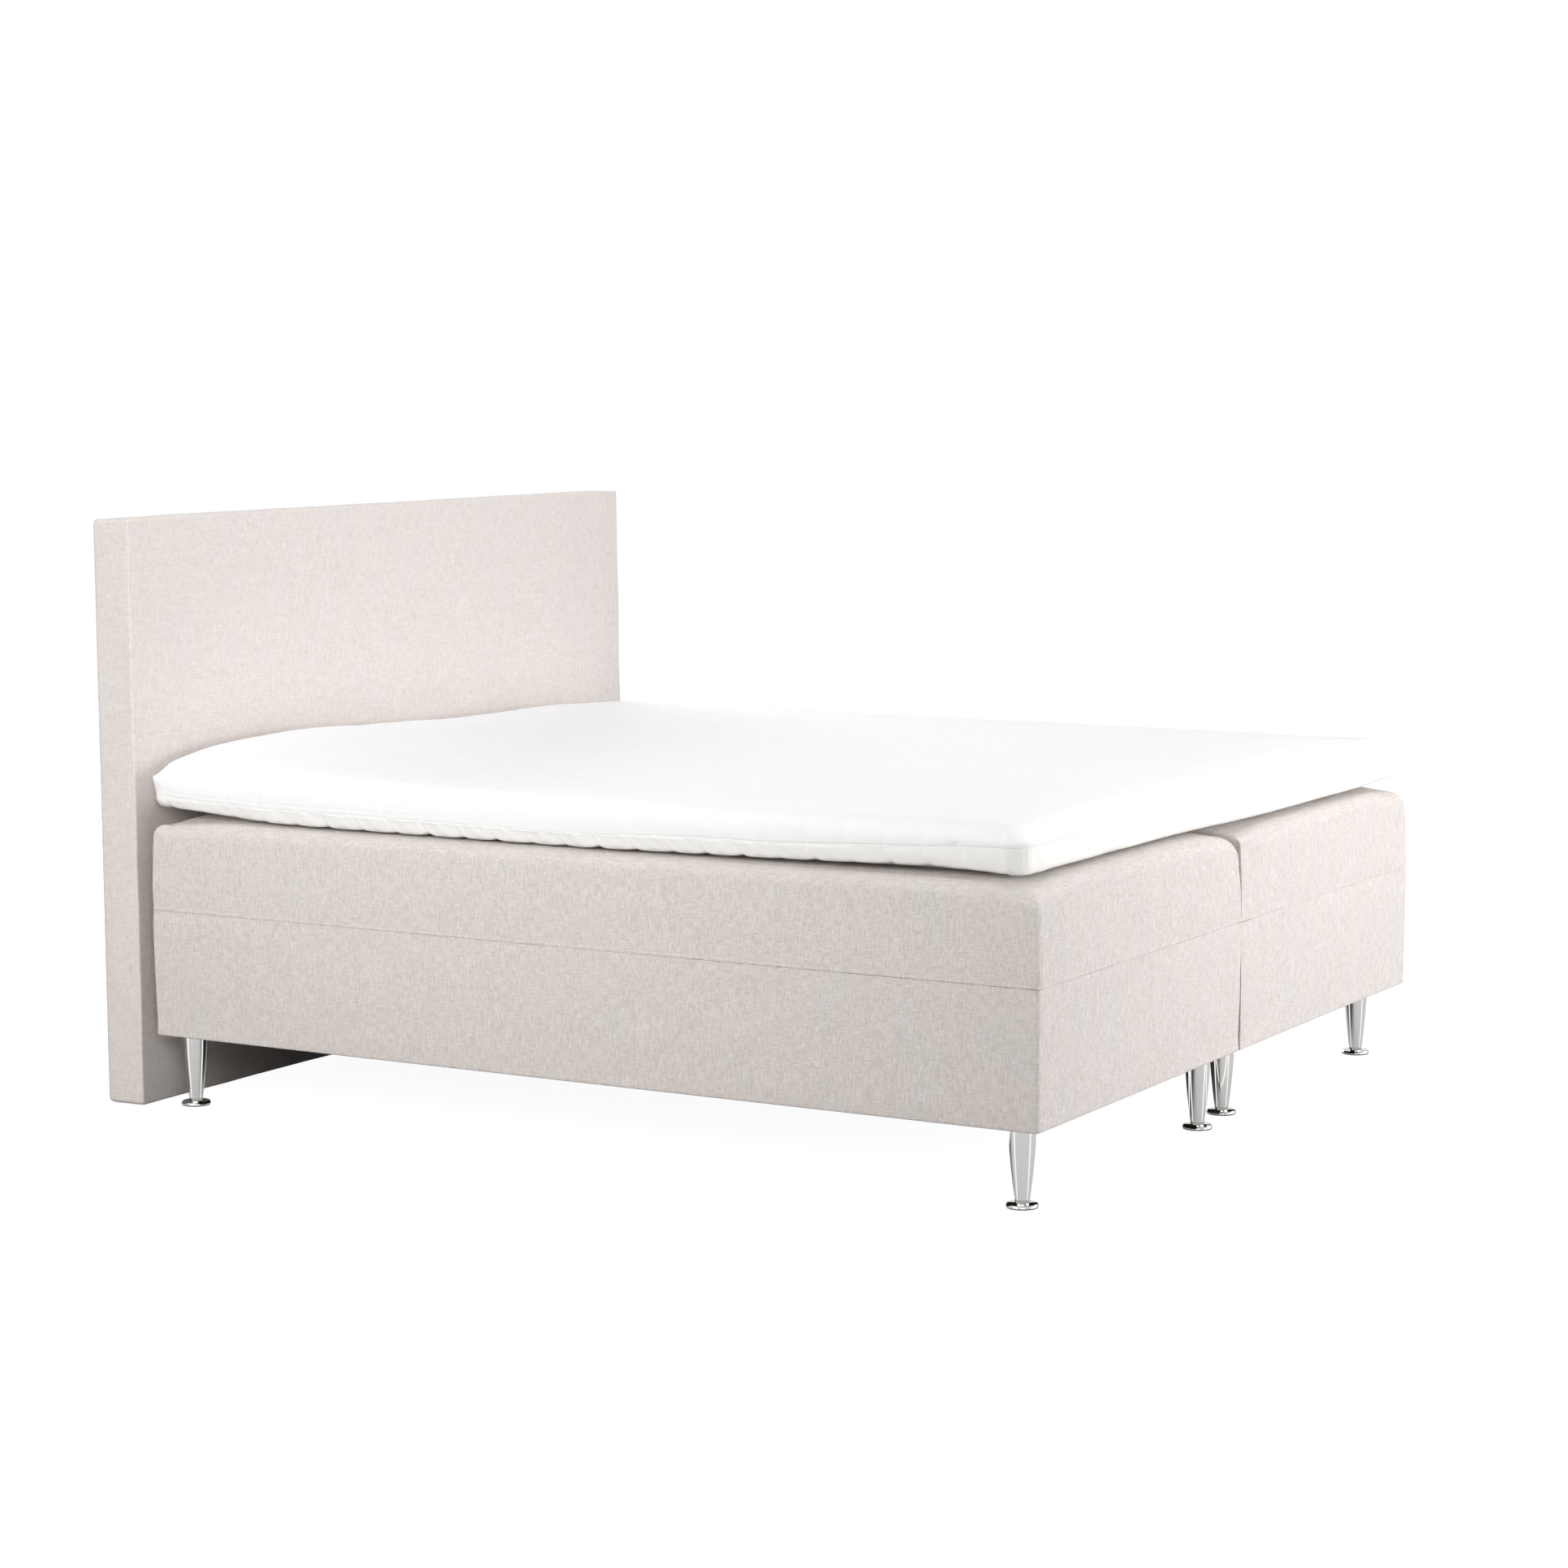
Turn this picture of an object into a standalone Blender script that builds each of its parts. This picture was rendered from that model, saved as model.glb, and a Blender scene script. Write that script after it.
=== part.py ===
"""Double bed: two sprung box bases side by side on turned legs, a quilted topper and a headboard.

X runs across the bed, +Y towards the headboard and +Z up. The floor is z = 0, and the origin is
the middle of the bed's footprint. All sizes are in metres.
"""

import math

import bmesh
import bpy
from mathutils import Matrix

# Overall sizes
bed_width = 1.800
base_length = 2.000
base_height = 0.442
leg_height = 0.150
split_gap = 0.001
contact_gap = 0.0003
cutter_overrun = 0.002

# Base covers: a lower band with a hem turned under the frame, and an upper lid above the seam
seam_above_underside = 0.257
cover_thickness = 0.004
cover_bulge = 0.003
cover_corner_radius = 0.012
cover_top_radius = 0.040
cover_top_corner_radius = 0.032
cover_crown_rise = 0.004
cover_crown_inset = 0.120
hem_width = 0.030
hem_thickness = 0.0035
dust_cover_thickness = 0.0015

# Base frame, slats and springs
board_thickness = 0.016
ledge_width = 0.018
ledge_height = 0.020
ledge_above_underside = 0.065
slat_width = 0.070
slat_thickness = 0.018
slat_count = 11
stringer_width = 0.045
stringer_inset = 0.200
divider_thickness = 0.0035
spring_rows = 12
spring_groove_width = 0.006
spring_groove_depth = 0.020
foam_wall = 0.030
foam_top = 0.035

# Legs with their studs, and the levelling glides
leg_top_radius = 0.025
leg_bottom_radius = 0.0142
leg_rim = 0.0010
leg_taper_power = 1.6
leg_taper_steps = 7
turned_steps = 20
left_leg_insets = {"outer": 0.070, "inner": 0.057, "foot": 0.067, "head": 0.048}
right_leg_insets = {"outer": 0.070, "inner": 0.098, "foot": 0.083, "head": 0.048}
leg_block_height = 0.040
leg_block_reach = 0.045
stud_radius = 0.005
bore_clearance = 0.0003
glide_radius = 0.030
glide_flat_radius = 0.0275
glide_base_radius = 0.0290
glide_thickness = 0.008
glide_rim_height = 0.0035
glide_base_height = 0.0012
stem_radius = 0.005
stem_length = 0.024
stem_bore_spare = 0.002

# Headboard
headboard_width = 1.820
headboard_top = 1.200
headboard_clearance = 0.005
headboard_thickness = 0.095
headboard_gap = 0.0235
headboard_lean = math.radians(0.65)
headboard_corner_radius = 0.014
headboard_edge_radius = 0.010
headboard_cover_thickness = 0.003
headboard_foam_thickness = 0.020
headboard_board_thickness = 0.012
headboard_hem_width = 0.045
headboard_timber_width = 0.060
headboard_cloth_thickness = 0.0015
pad_radius = 0.012
pad_inset = 0.120

# Steel fittings and their screw holes
bracket_width = 0.040
bracket_thickness = 0.004
bracket_rise = 0.060
bracket_run = 0.045
bracket_inset = 0.180
coupling_length = 0.050
coupling_width = 0.060
coupling_thickness = 0.003
coupling_inset = 0.022
screw_hole_radius = 0.0025
screw_spread = 0.012
small_turned_steps = 12

# Topper: a crowned core in a cover of two halves that meet at a line halfway up the side
topper_side_inset = 0.030
topper_foot_inset = 0.045
topper_head_clearance = 0.001
topper_half_line = 0.048
topper_edge_top = 0.094
topper_crown_rise = 0.030
topper_corner_radius = 0.040
topper_edge_radius = 0.045
topper_edge_step = 0.010
topper_shoulder_inset = 0.200
topper_channels = 24
topper_channel_depth = 0.004
topper_tuck_depth = 0.003
topper_top_thickness = 0.007
topper_bottom_thickness = 0.005
topper_underside_inset = 0.026
topper_crown_power = 4
topper_core_slack = 0.002
topper_core_inset = 0.020
tray_side_share = 0.45
tray_roll_share = 0.12

# Steps in a quarter turn
corner_steps = 3
edge_steps = 4

# Worked out from the sizes above
unit_width = (bed_width - split_gap) / 2
unit_half_x = unit_width / 2
unit_half_y = base_length / 2
seam_z = leg_height + seam_above_underside
base_top = leg_height + base_height
frame_half_x = unit_half_x - cover_bulge - cover_thickness - contact_gap
frame_half_y = unit_half_y - cover_bulge - cover_thickness - contact_gap
inner_half_x = frame_half_x - board_thickness - contact_gap
inner_half_y = frame_half_y - board_thickness - contact_gap
frame_bottom = leg_height + hem_thickness + contact_gap
divider_bottom = seam_z - contact_gap - divider_thickness
frame_top = divider_bottom - contact_gap
ledge_top = frame_bottom + ledge_above_underside + ledge_height
slat_bottom = ledge_top + contact_gap
slat_top = slat_bottom + slat_thickness
leg_top = leg_height - contact_gap
leg_bottom = glide_thickness + contact_gap
headboard_reach = (
    (headboard_top - headboard_edge_radius) * math.sin(headboard_lean)
    + (headboard_thickness - headboard_edge_radius) * math.cos(headboard_lean)
    + headboard_edge_radius
)
bed_length = base_length + headboard_gap + headboard_reach
foot_y = -bed_length / 2
base_centre_y = foot_y + unit_half_y
head_y = foot_y + base_length
headboard_front_y = head_y + headboard_gap
topper_bottom = base_top + contact_gap
topper_line_z = topper_bottom + topper_half_line
topper_half_x = bed_width / 2 - topper_side_inset
topper_foot_y = foot_y + topper_foot_inset
topper_head_y = headboard_front_y + topper_bottom * math.tan(headboard_lean) - topper_head_clearance
topper_half_y = (topper_head_y - topper_foot_y) / 2
topper_centre_y = (topper_head_y + topper_foot_y) / 2


def clear_scene():
    """Remove whatever the file holds."""
    for item in list(bpy.data.objects):
        bpy.data.objects.remove(item)


def make_collection(name):
    """Add a collection to the scene."""
    collection = bpy.data.collections.new(name)
    bpy.context.scene.collection.children.link(collection)
    return collection


def make_material(name, colour, roughness, metallic=0.0):
    """Principled material of one colour."""
    material = bpy.data.materials.new(name)
    material.use_nodes = True
    shader = material.node_tree.nodes["Principled BSDF"]
    shader.inputs["Base Color"].default_value = (*colour, 1.0)
    shader.inputs["Roughness"].default_value = roughness
    shader.inputs["Metallic"].default_value = metallic
    material.diffuse_color = (*colour, 1.0)
    return material


clear_scene()
parts = make_collection("double_bed")
cutters = make_collection("cutters")

base_fabric = make_material("base_fabric", (0.66, 0.61, 0.57), 0.9)
topper_fabric = make_material("topper_fabric", (0.93, 0.93, 0.93), 0.85)
chrome = make_material("chrome", (0.80, 0.80, 0.80), 0.08, 1.0)
zinc_steel = make_material("zinc_steel", (0.60, 0.61, 0.62), 0.35, 1.0)
pine = make_material("pine", (0.72, 0.55, 0.36), 0.6)
chipboard = make_material("chipboard", (0.58, 0.46, 0.33), 0.75)
foam = make_material("foam", (0.88, 0.84, 0.70), 0.95)
spring_cloth = make_material("spring_cloth", (0.86, 0.87, 0.88), 0.9)
grey_felt = make_material("grey_felt", (0.42, 0.42, 0.42), 0.95)
black_cloth = make_material("black_cloth", (0.06, 0.06, 0.06), 0.9)
black_plastic = make_material("black_plastic", (0.05, 0.05, 0.05), 0.5)


def add_object(name, mesh, material, location=(0, 0, 0), parent=None, smooth=False):
    """Put a mesh into the bed's collection."""
    item = bpy.data.objects.new(name, mesh)
    parts.objects.link(item)
    item.location = location
    item.parent = parent
    if not mesh.materials:
        mesh.materials.append(material)
    if smooth:
        mesh.shade_smooth()
        mesh.set_sharp_from_angle(angle=math.radians(40))
    return item


def mesh_from(bm, name):
    """Close a bmesh into a mesh with its faces pointing out."""
    bmesh.ops.recalc_face_normals(bm, faces=bm.faces)
    if bm.calc_volume(signed=True) < 0:
        bmesh.ops.reverse_faces(bm, faces=bm.faces)
    mesh = bpy.data.meshes.new(name)
    bm.to_mesh(mesh)
    bm.free()
    return mesh


def box(name, low, high, material, parent=None):
    """Box between its lowest and its highest corner."""
    bm = bmesh.new()
    centre = [(a + b) / 2 for a, b in zip(low, high)]
    size = [b - a for a, b in zip(low, high)]
    placed = Matrix.Translation(centre) @ Matrix.Diagonal((*size, 1))
    bmesh.ops.create_cube(bm, size=1, matrix=placed)
    return add_object(name, mesh_from(bm, name), material, parent=parent)


def rounded_rectangle(half_x, half_y, radius, z):
    """Points of a rounded rectangle at one height, anticlockwise."""
    points = []
    for quarter, (sign_x, sign_y) in enumerate(((1, 1), (-1, 1), (-1, -1), (1, -1))):
        for step in range(corner_steps + 1):
            angle = (quarter + step / corner_steps) * math.pi / 2
            x = sign_x * (half_x - radius) + radius * math.cos(angle)
            y = sign_y * (half_y - radius) + radius * math.sin(angle)
            points.append((x, y, z))
    return points


def loft(name, rings, material, closed=False, location=(0, 0, 0), parent=None, smooth=False):
    """Skin rings of equal count. A closed loft is a ring itself, an open one has capped ends."""
    bm = bmesh.new()
    loops = [[bm.verts.new(point) for point in ring] for ring in rings]
    pairs = list(zip(loops, loops[1:]))
    if closed:
        pairs.append((loops[-1], loops[0]))
    for first, second in pairs:
        for index in range(len(first)):
            after = (index + 1) % len(first)
            bm.faces.new((first[index], first[after], second[after], second[index]))
    if not closed:
        bm.faces.new(loops[0])
        bm.faces.new(loops[-1])
    return add_object(name, mesh_from(bm, name), material, location, parent, smooth)


def turned_mesh(name, profile, steps):
    """Mesh turned about Z from a profile that runs from the top of the axis to its bottom."""
    outline = bpy.data.meshes.new(name)
    corners = [(radius, 0, height) for radius, height in profile]
    outline.from_pydata(corners, [(i, i + 1) for i in range(len(corners) - 1)], [])
    guide = bpy.data.objects.new(name + "_profile", outline)
    cutters.objects.link(guide)
    turn = guide.modifiers.new("Turn", 'SCREW')
    turn.steps = steps
    turn.render_steps = steps
    turn.use_merge_vertices = True
    turn.merge_threshold = 0.00001
    solid = bpy.data.meshes.new_from_object(guide.evaluated_get(bpy.context.evaluated_depsgraph_get()))
    bpy.data.objects.remove(guide)
    solid.name = name
    return solid


def add_loop(curve, low_x, high_x, low_y, high_y):
    """Add a closed rectangle to a flat curve."""
    spline = curve.splines.new('POLY')
    spline.points.add(3)
    corners = ((low_x, low_y), (high_x, low_y), (high_x, high_y), (low_x, high_y))
    for point, (x, y) in zip(spline.points, corners):
        point.co = (x, y, 0, 1)
    spline.use_cyclic_u = True


def as_cutter(item, parent=None):
    """Keep an object as a guide for Booleans only."""
    for collection in list(item.users_collection):
        collection.objects.unlink(item)
    cutters.objects.link(item)
    item.parent = parent
    item.hide_render = True
    item.display_type = 'WIRE'
    return item


def bores(name, places, radius, start, end, parent=None):
    """Cutter of round bores at several places, from a start to an end along each place's Z."""
    bm = bmesh.new()
    for place in places:
        middle = place @ Matrix.Translation((0, 0, (start + end) / 2))
        bmesh.ops.create_cone(bm, cap_ends=True, segments=small_turned_steps, radius1=radius,
                              radius2=radius, depth=end - start, matrix=middle)
    cutter = bpy.data.objects.new(name, mesh_from(bm, name))
    parts.objects.link(cutter)
    return as_cutter(cutter, parent)


def combine(item, other, operation='DIFFERENCE'):
    """Cut one object by another, or join them with UNION."""
    step = item.modifiers.new(operation.title() + " " + other.name, 'BOOLEAN')
    step.operation = operation
    step.solver = 'EXACT'
    step.object = other


def lid_rings(inset, z_low, z_top, crown_rise, bulge):
    """Outer rings of a base's upper form, from its lower edge to its flat middle."""
    half_x = unit_half_x - cover_bulge - inset
    half_y = unit_half_y - cover_bulge - inset
    corner = max(cover_corner_radius - inset, cover_corner_radius / 3)
    top_corner = max(cover_top_corner_radius - inset, cover_top_corner_radius / 3)
    edge = max(cover_top_radius - inset, cover_top_radius / 4)
    shoulder = z_top - crown_rise
    rings = [rounded_rectangle(half_x + bulge, half_y + bulge, corner, z_low)]
    for step in range(edge_steps + 1):
        angle = step / edge_steps * math.pi / 2
        drawn_in = edge * (1 - math.cos(angle))
        height = shoulder - edge * (1 - math.sin(angle))
        radius = corner + (top_corner - corner) * step / edge_steps
        rings.append(rounded_rectangle(half_x - drawn_in, half_y - drawn_in, radius, height))
    if crown_rise > 0:
        middle = cover_crown_inset - inset
        rings.append(rounded_rectangle(half_x - middle, half_y - middle, top_corner, z_top))
    return rings


def build_base(side, sign, insets):
    """One sprung box base with its frame, springs, foam, covers, legs and glides."""
    centre_x = sign * (unit_half_x + split_gap / 2)
    centre = (centre_x, base_centre_y, 0)

    # Lower band: up the outside, down the inside, and round the hem turned under the frame
    wall = cover_bulge + cover_thickness
    plain_x, plain_y = unit_half_x - cover_bulge, unit_half_y - cover_bulge
    corner = cover_corner_radius
    inner_corner = contact_gap
    band_top = seam_z - contact_gap
    hem_x, hem_y = plain_x - hem_width, plain_y - hem_width
    band = [
        rounded_rectangle(plain_x, plain_y, corner, leg_height),
        rounded_rectangle(unit_half_x, unit_half_y, corner, band_top),
        rounded_rectangle(unit_half_x - wall, unit_half_y - wall, inner_corner, band_top),
        rounded_rectangle(unit_half_x - wall, unit_half_y - wall, inner_corner, leg_height + hem_thickness),
        rounded_rectangle(hem_x, hem_y, inner_corner, leg_height + hem_thickness),
        rounded_rectangle(hem_x, hem_y, inner_corner, leg_height),
    ]
    loft(side + "_lower_cover", band, base_fabric, closed=True, location=centre)

    # Upper lid, and the foam case that fills it round the upper springs
    outer = lid_rings(0, seam_z, base_top, cover_crown_rise, cover_bulge)
    lining = base_top - cover_thickness
    inner = lid_rings(cover_thickness, seam_z, lining - cover_crown_rise, 0, 0)
    loft(side + "_upper_cover", inner[::-1] + outer, base_fabric, location=centre, smooth=True)
    case_top = lining - cover_crown_rise - contact_gap
    case = lid_rings(cover_thickness + contact_gap, seam_z, case_top, 0, 0)
    well_x, well_y = frame_half_x - foam_wall, frame_half_y - foam_wall
    well_top = case_top - foam_top
    well = [
        rounded_rectangle(well_x, well_y, contact_gap, well_top),
        rounded_rectangle(well_x, well_y, contact_gap, seam_z),
    ]
    loft(side + "_foam_case", well + case, foam, location=centre)

    # Cloth under the frame, inside the hem
    cloth_x, cloth_y = hem_x - contact_gap, hem_y - contact_gap
    cloth_top = leg_height + dust_cover_thickness
    dust_cover = loft(side + "_dust_cover", [
        rounded_rectangle(cloth_x, cloth_y, inner_corner, leg_height),
        rounded_rectangle(cloth_x, cloth_y, inner_corner, cloth_top),
    ], black_cloth, location=centre)

    # Long frame boards, each with a ledge for the slats between the short boards
    for place, direction in (("outer", sign), ("inner", -sign)):
        outside = centre_x + direction * frame_half_x
        inside = outside - direction * board_thickness
        ledge_edge = inside - direction * ledge_width
        buried = inside + direction * board_thickness / 2
        side_board = box(
            side + "_side_board_" + place,
            (min(outside, inside), base_centre_y - frame_half_y, frame_bottom),
            (max(outside, inside), base_centre_y + frame_half_y, frame_top),
            pine,
        )
        ledge = box(
            side + "_ledge_" + place,
            (min(buried, ledge_edge), base_centre_y - inner_half_y, ledge_top - ledge_height),
            (max(buried, ledge_edge), base_centre_y + inner_half_y, ledge_top),
            pine,
        )
        combine(side_board, as_cutter(ledge), 'UNION')

    # Short boards between the long ones, each with the two corner blocks that take the leg studs
    studs = []
    for end, end_sign in (("foot", -1), ("head", 1)):
        outside = base_centre_y + end_sign * frame_half_y
        inside = outside - end_sign * board_thickness
        end_board = box(
            side + "_end_board_" + end,
            (centre_x - inner_half_x, min(outside, inside), frame_bottom),
            (centre_x + inner_half_x, max(outside, inside), frame_top),
            pine,
        )
        leg_y = base_centre_y + end_sign * (unit_half_y - insets[end])
        block_y = (inside + end_sign * board_thickness / 2, leg_y - end_sign * leg_block_reach)
        places = {
            "outer": (sign * (bed_width / 2 - insets["outer"]), sign),
            "inner": (sign * (split_gap / 2 + insets["inner"]), -sign),
        }
        for place, (leg_x, towards) in places.items():
            block_x = (centre_x + towards * inner_half_x, leg_x - towards * leg_block_reach)
            block = box(
                side + "_block_" + end + "_" + place,
                (min(block_x), min(block_y), frame_bottom),
                (max(block_x), max(block_y), frame_bottom + leg_block_height),
                pine,
            )
            combine(end_board, as_cutter(block), 'UNION')
            name = side + "_" + end + "_" + place
            add_object(name + "_leg", leg_mesh, chrome, (leg_x, leg_y, 0), smooth=True)
            add_object(name + "_glide", glide_mesh, chrome, (leg_x, leg_y, 0), smooth=True)
            studs.append(Matrix.Translation((leg_x, leg_y, leg_top)))
        stud_bores = bores(
            side + "_stud_bores_" + end, studs[-2:], stud_radius + bore_clearance,
            -cutter_overrun, leg_block_height + hem_thickness + cutter_overrun,
        )
        combine(end_board, stud_bores)
        combine(dust_cover, stud_bores)

    # Slatted deck on the ledges, its slats tied by two stringers
    deck = bpy.data.curves.new(side + "_slat_deck", 'CURVE')
    deck.dimensions = '2D'
    deck.fill_mode = 'BOTH'
    deck.extrude = slat_thickness / 2
    add_loop(deck, -inner_half_x, inner_half_x, -inner_half_y, inner_half_y)
    pitch = (2 * inner_half_y - slat_width) / (slat_count - 1)
    stringer_x = inner_half_x - stringer_inset
    windows = (
        (-inner_half_x + stringer_width, -stringer_x - stringer_width),
        (-stringer_x, stringer_x),
        (stringer_x + stringer_width, inner_half_x - stringer_width),
    )
    for index in range(slat_count - 1):
        near = -inner_half_y + slat_width + pitch * index
        for low_x, high_x in windows:
            add_loop(deck, low_x, high_x, near, near + pitch - slat_width)
    slat_deck = bpy.data.objects.new(side + "_slat_deck", deck)
    deck.materials.append(pine)
    parts.objects.link(slat_deck)
    slat_deck.location = (centre_x, base_centre_y, slat_bottom + slat_thickness / 2)

    # Spring units: rows of pockets, drawn as a block with a groove between rows
    def spring_unit(name, half_x, half_y, z_low, z_high):
        """Rows run along the bed."""
        row = 2 * half_x / spring_rows
        top, bottom = [], []
        for index in range(1, spring_rows):
            valley = centre_x - half_x + row * index
            for x, depth in (
                (valley - spring_groove_width / 2, 0),
                (valley, spring_groove_depth),
                (valley + spring_groove_width / 2, 0),
            ):
                top.append((x, z_high - depth))
                bottom.append((x, z_low + depth))
        left, right = centre_x - half_x, centre_x + half_x
        outline = [(left, z_low), (left, z_high)] + top + [(right, z_high), (right, z_low)] + bottom[::-1]
        ends = (base_centre_y - half_y, base_centre_y + half_y)
        loft(name, [[(x, y, z) for x, z in outline] for y in ends], spring_cloth)

    spring_unit(side + "_lower_springs", inner_half_x, inner_half_y, slat_top + contact_gap, frame_top)
    spring_x, spring_y = well_x - contact_gap, well_y - contact_gap
    spring_unit(side + "_upper_springs", spring_x, spring_y, seam_z, well_top - contact_gap)
    box(
        side + "_divider_felt",
        (centre_x - frame_half_x, base_centre_y - frame_half_y, divider_bottom),
        (centre_x + frame_half_x, base_centre_y + frame_half_y, divider_bottom + divider_thickness),
        grey_felt,
    )


# Leg: a stud above, a tapered outside, and a bore below for the glide's stem
stud_top = frame_bottom + leg_block_height
leg_outline = [
    (0, stud_top),
    (stud_radius, stud_top),
    (stud_radius, leg_top),
    (leg_top_radius - leg_rim, leg_top),
]
for taper_step in range(leg_taper_steps + 1):
    down = taper_step / leg_taper_steps
    narrowing = (leg_top_radius - leg_bottom_radius) * down ** leg_taper_power
    height_here = leg_top - leg_rim - (leg_top - leg_rim - leg_bottom) * down
    leg_outline.append((leg_top_radius - narrowing, height_here))
stem_top = glide_thickness + stem_length
leg_outline += [
    (stem_radius + bore_clearance, leg_bottom),
    (stem_radius + bore_clearance, stem_top + stem_bore_spare),
    (0, stem_top + stem_bore_spare),
]
leg_mesh = turned_mesh("leg", leg_outline, turned_steps)

# Levelling glide: a disc on a stem that screws into the leg
glide_mesh = turned_mesh("glide", [
    (0, stem_top),
    (stem_radius, stem_top),
    (stem_radius, glide_thickness),
    (glide_flat_radius, glide_thickness),
    (glide_radius, glide_rim_height),
    (glide_base_radius, glide_base_height),
    (glide_base_radius, 0),
    (0, 0),
], turned_steps)

build_base("left", -1, left_leg_insets)
build_base("right", 1, right_leg_insets)

# Couplings that tie the two frames together under the split, with four screw holes each
for end_name, end_direction in (("foot", -1), ("head", 1)):
    coupling_y = base_centre_y + end_direction * (unit_half_y - coupling_inset - coupling_length / 2)
    plate_top = leg_height - contact_gap
    coupling = loft("coupling_plate_" + end_name, [
        rounded_rectangle(coupling_width / 2, coupling_length / 2, cover_corner_radius / 2, level)
        for level in (plate_top - coupling_thickness, plate_top)
    ], zinc_steel, location=(0, coupling_y, 0))
    inner_board_x = (split_gap + board_thickness) / 2 + unit_half_x - frame_half_x
    holes = [
        Matrix.Translation((x, coupling_y + y, plate_top - coupling_thickness))
        for x in (-inner_board_x, inner_board_x) for y in (-screw_spread, screw_spread)
    ]
    combine(coupling, bores("coupling_holes_" + end_name, holes, screw_hole_radius,
                            -cutter_overrun, coupling_thickness + cutter_overrun))

# Headboard, made lying on its back and stood up by its stand, which leans it back
stand = bpy.data.objects.new("headboard_stand", None)
parts.objects.link(stand)
stand.location = (0, headboard_front_y, 0)
stand.rotation_euler = (math.pi / 2 - headboard_lean, 0, 0)
board_half_x = headboard_width / 2
board_half_y = (headboard_top - headboard_clearance) / 2
board_centre = (0, headboard_clearance + board_half_y, 0)


def headboard_ring(inset, z):
    """Outline of the headboard, drawn in by an inset, at a height above its lying front."""
    radius = max(headboard_corner_radius - inset, headboard_corner_radius / 4)
    return rounded_rectangle(board_half_x - inset, board_half_y - inset, radius, z)


def headboard_shell():
    """Cover: lined front, sides and a hem on the back, round an open back."""
    skin = headboard_cover_thickness
    back = -headboard_thickness
    edge = headboard_edge_radius
    rings = [
        headboard_ring(edge, -skin),
        headboard_ring(skin, -edge),
        headboard_ring(skin, back + edge),
        headboard_ring(edge, back + skin),
        headboard_ring(headboard_hem_width, back + skin),
        headboard_ring(headboard_hem_width, back),
    ]
    for level, turn in ((back, 1), (0, -1)):
        for step in range(corner_steps + 1):
            angle = step / corner_steps * math.pi / 2
            if level == 0:
                angle = math.pi / 2 - angle
            inset = edge * (1 - math.sin(angle))
            rings.append(headboard_ring(inset, level + turn * edge * (1 - math.cos(angle))))
    return rings


loft("headboard_cover", headboard_shell(), base_fabric, location=board_centre, parent=stand, smooth=True)
foam_front = -headboard_cover_thickness - contact_gap
foam_back = foam_front - headboard_foam_thickness
lining_inset = headboard_cover_thickness + contact_gap
loft("headboard_foam", [
    headboard_ring(headboard_edge_radius + contact_gap, foam_front),
    headboard_ring(lining_inset, -headboard_edge_radius - contact_gap),
    headboard_ring(lining_inset, foam_back),
], foam, location=board_centre, parent=stand)
board_front = foam_back - contact_gap
board_back = board_front - headboard_board_thickness
loft("headboard_board", [
    headboard_ring(lining_inset, board_front),
    headboard_ring(lining_inset, board_back),
], chipboard, location=board_centre, parent=stand)

# Timber frame behind the board: two stiles and three rails
timber_front = board_back - contact_gap
timber_back = -headboard_thickness + headboard_cover_thickness + contact_gap
timber_inset = headboard_edge_radius + headboard_corner_radius / 8
stile_out = board_half_x - timber_inset
stile_in = stile_out - headboard_timber_width
timber_low = headboard_clearance + timber_inset
timber_high = headboard_top - timber_inset
rail_x = stile_in - contact_gap
rail_step = (timber_high - timber_low - headboard_timber_width) / 2
for board_side, direction in (("left", -1), ("right", 1)):
    across = sorted((direction * stile_in, direction * stile_out))
    box("headboard_stile_" + board_side, (across[0], timber_low, timber_back),
        (across[1], timber_high, timber_front), pine, parent=stand)
for rail, rail_name in enumerate(("bottom", "middle", "top")):
    rail_low = timber_low + rail * rail_step
    rail_high = rail_low + headboard_timber_width
    box("headboard_rail_" + rail_name, (-rail_x, rail_low, timber_back),
        (rail_x, rail_high, timber_front), pine, parent=stand)
cloth_inset = headboard_hem_width + contact_gap
cloth_back = timber_back - contact_gap - headboard_cloth_thickness
loft("headboard_back_cloth", [
    headboard_ring(cloth_inset, cloth_back),
    headboard_ring(cloth_inset, cloth_back + headboard_cloth_thickness),
], black_cloth, location=board_centre, parent=stand)

# Angle brackets from under the bases to the headboard, each with two holes in either leg
bracket_foot = leg_height - contact_gap - bracket_thickness
bracket_near_y = base_centre_y + frame_half_y - bracket_run
upright_back_y = headboard_front_y + bracket_foot * math.tan(headboard_lean) - contact_gap
upright_front_y = upright_back_y - bracket_thickness
frame_hole_y = base_centre_y + frame_half_y - board_thickness / 2
upright_hole_z = bracket_foot + (bracket_rise + bracket_thickness) / 2
bracket_outline = [
    (bracket_near_y, bracket_foot),
    (upright_back_y, bracket_foot),
    (upright_back_y, bracket_foot + bracket_rise),
    (upright_front_y, bracket_foot + bracket_rise),
    (upright_front_y, bracket_foot + bracket_thickness),
    (bracket_near_y, bracket_foot + bracket_thickness),
]
along_y = Matrix.Rotation(-math.pi / 2, 4, 'X')
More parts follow.
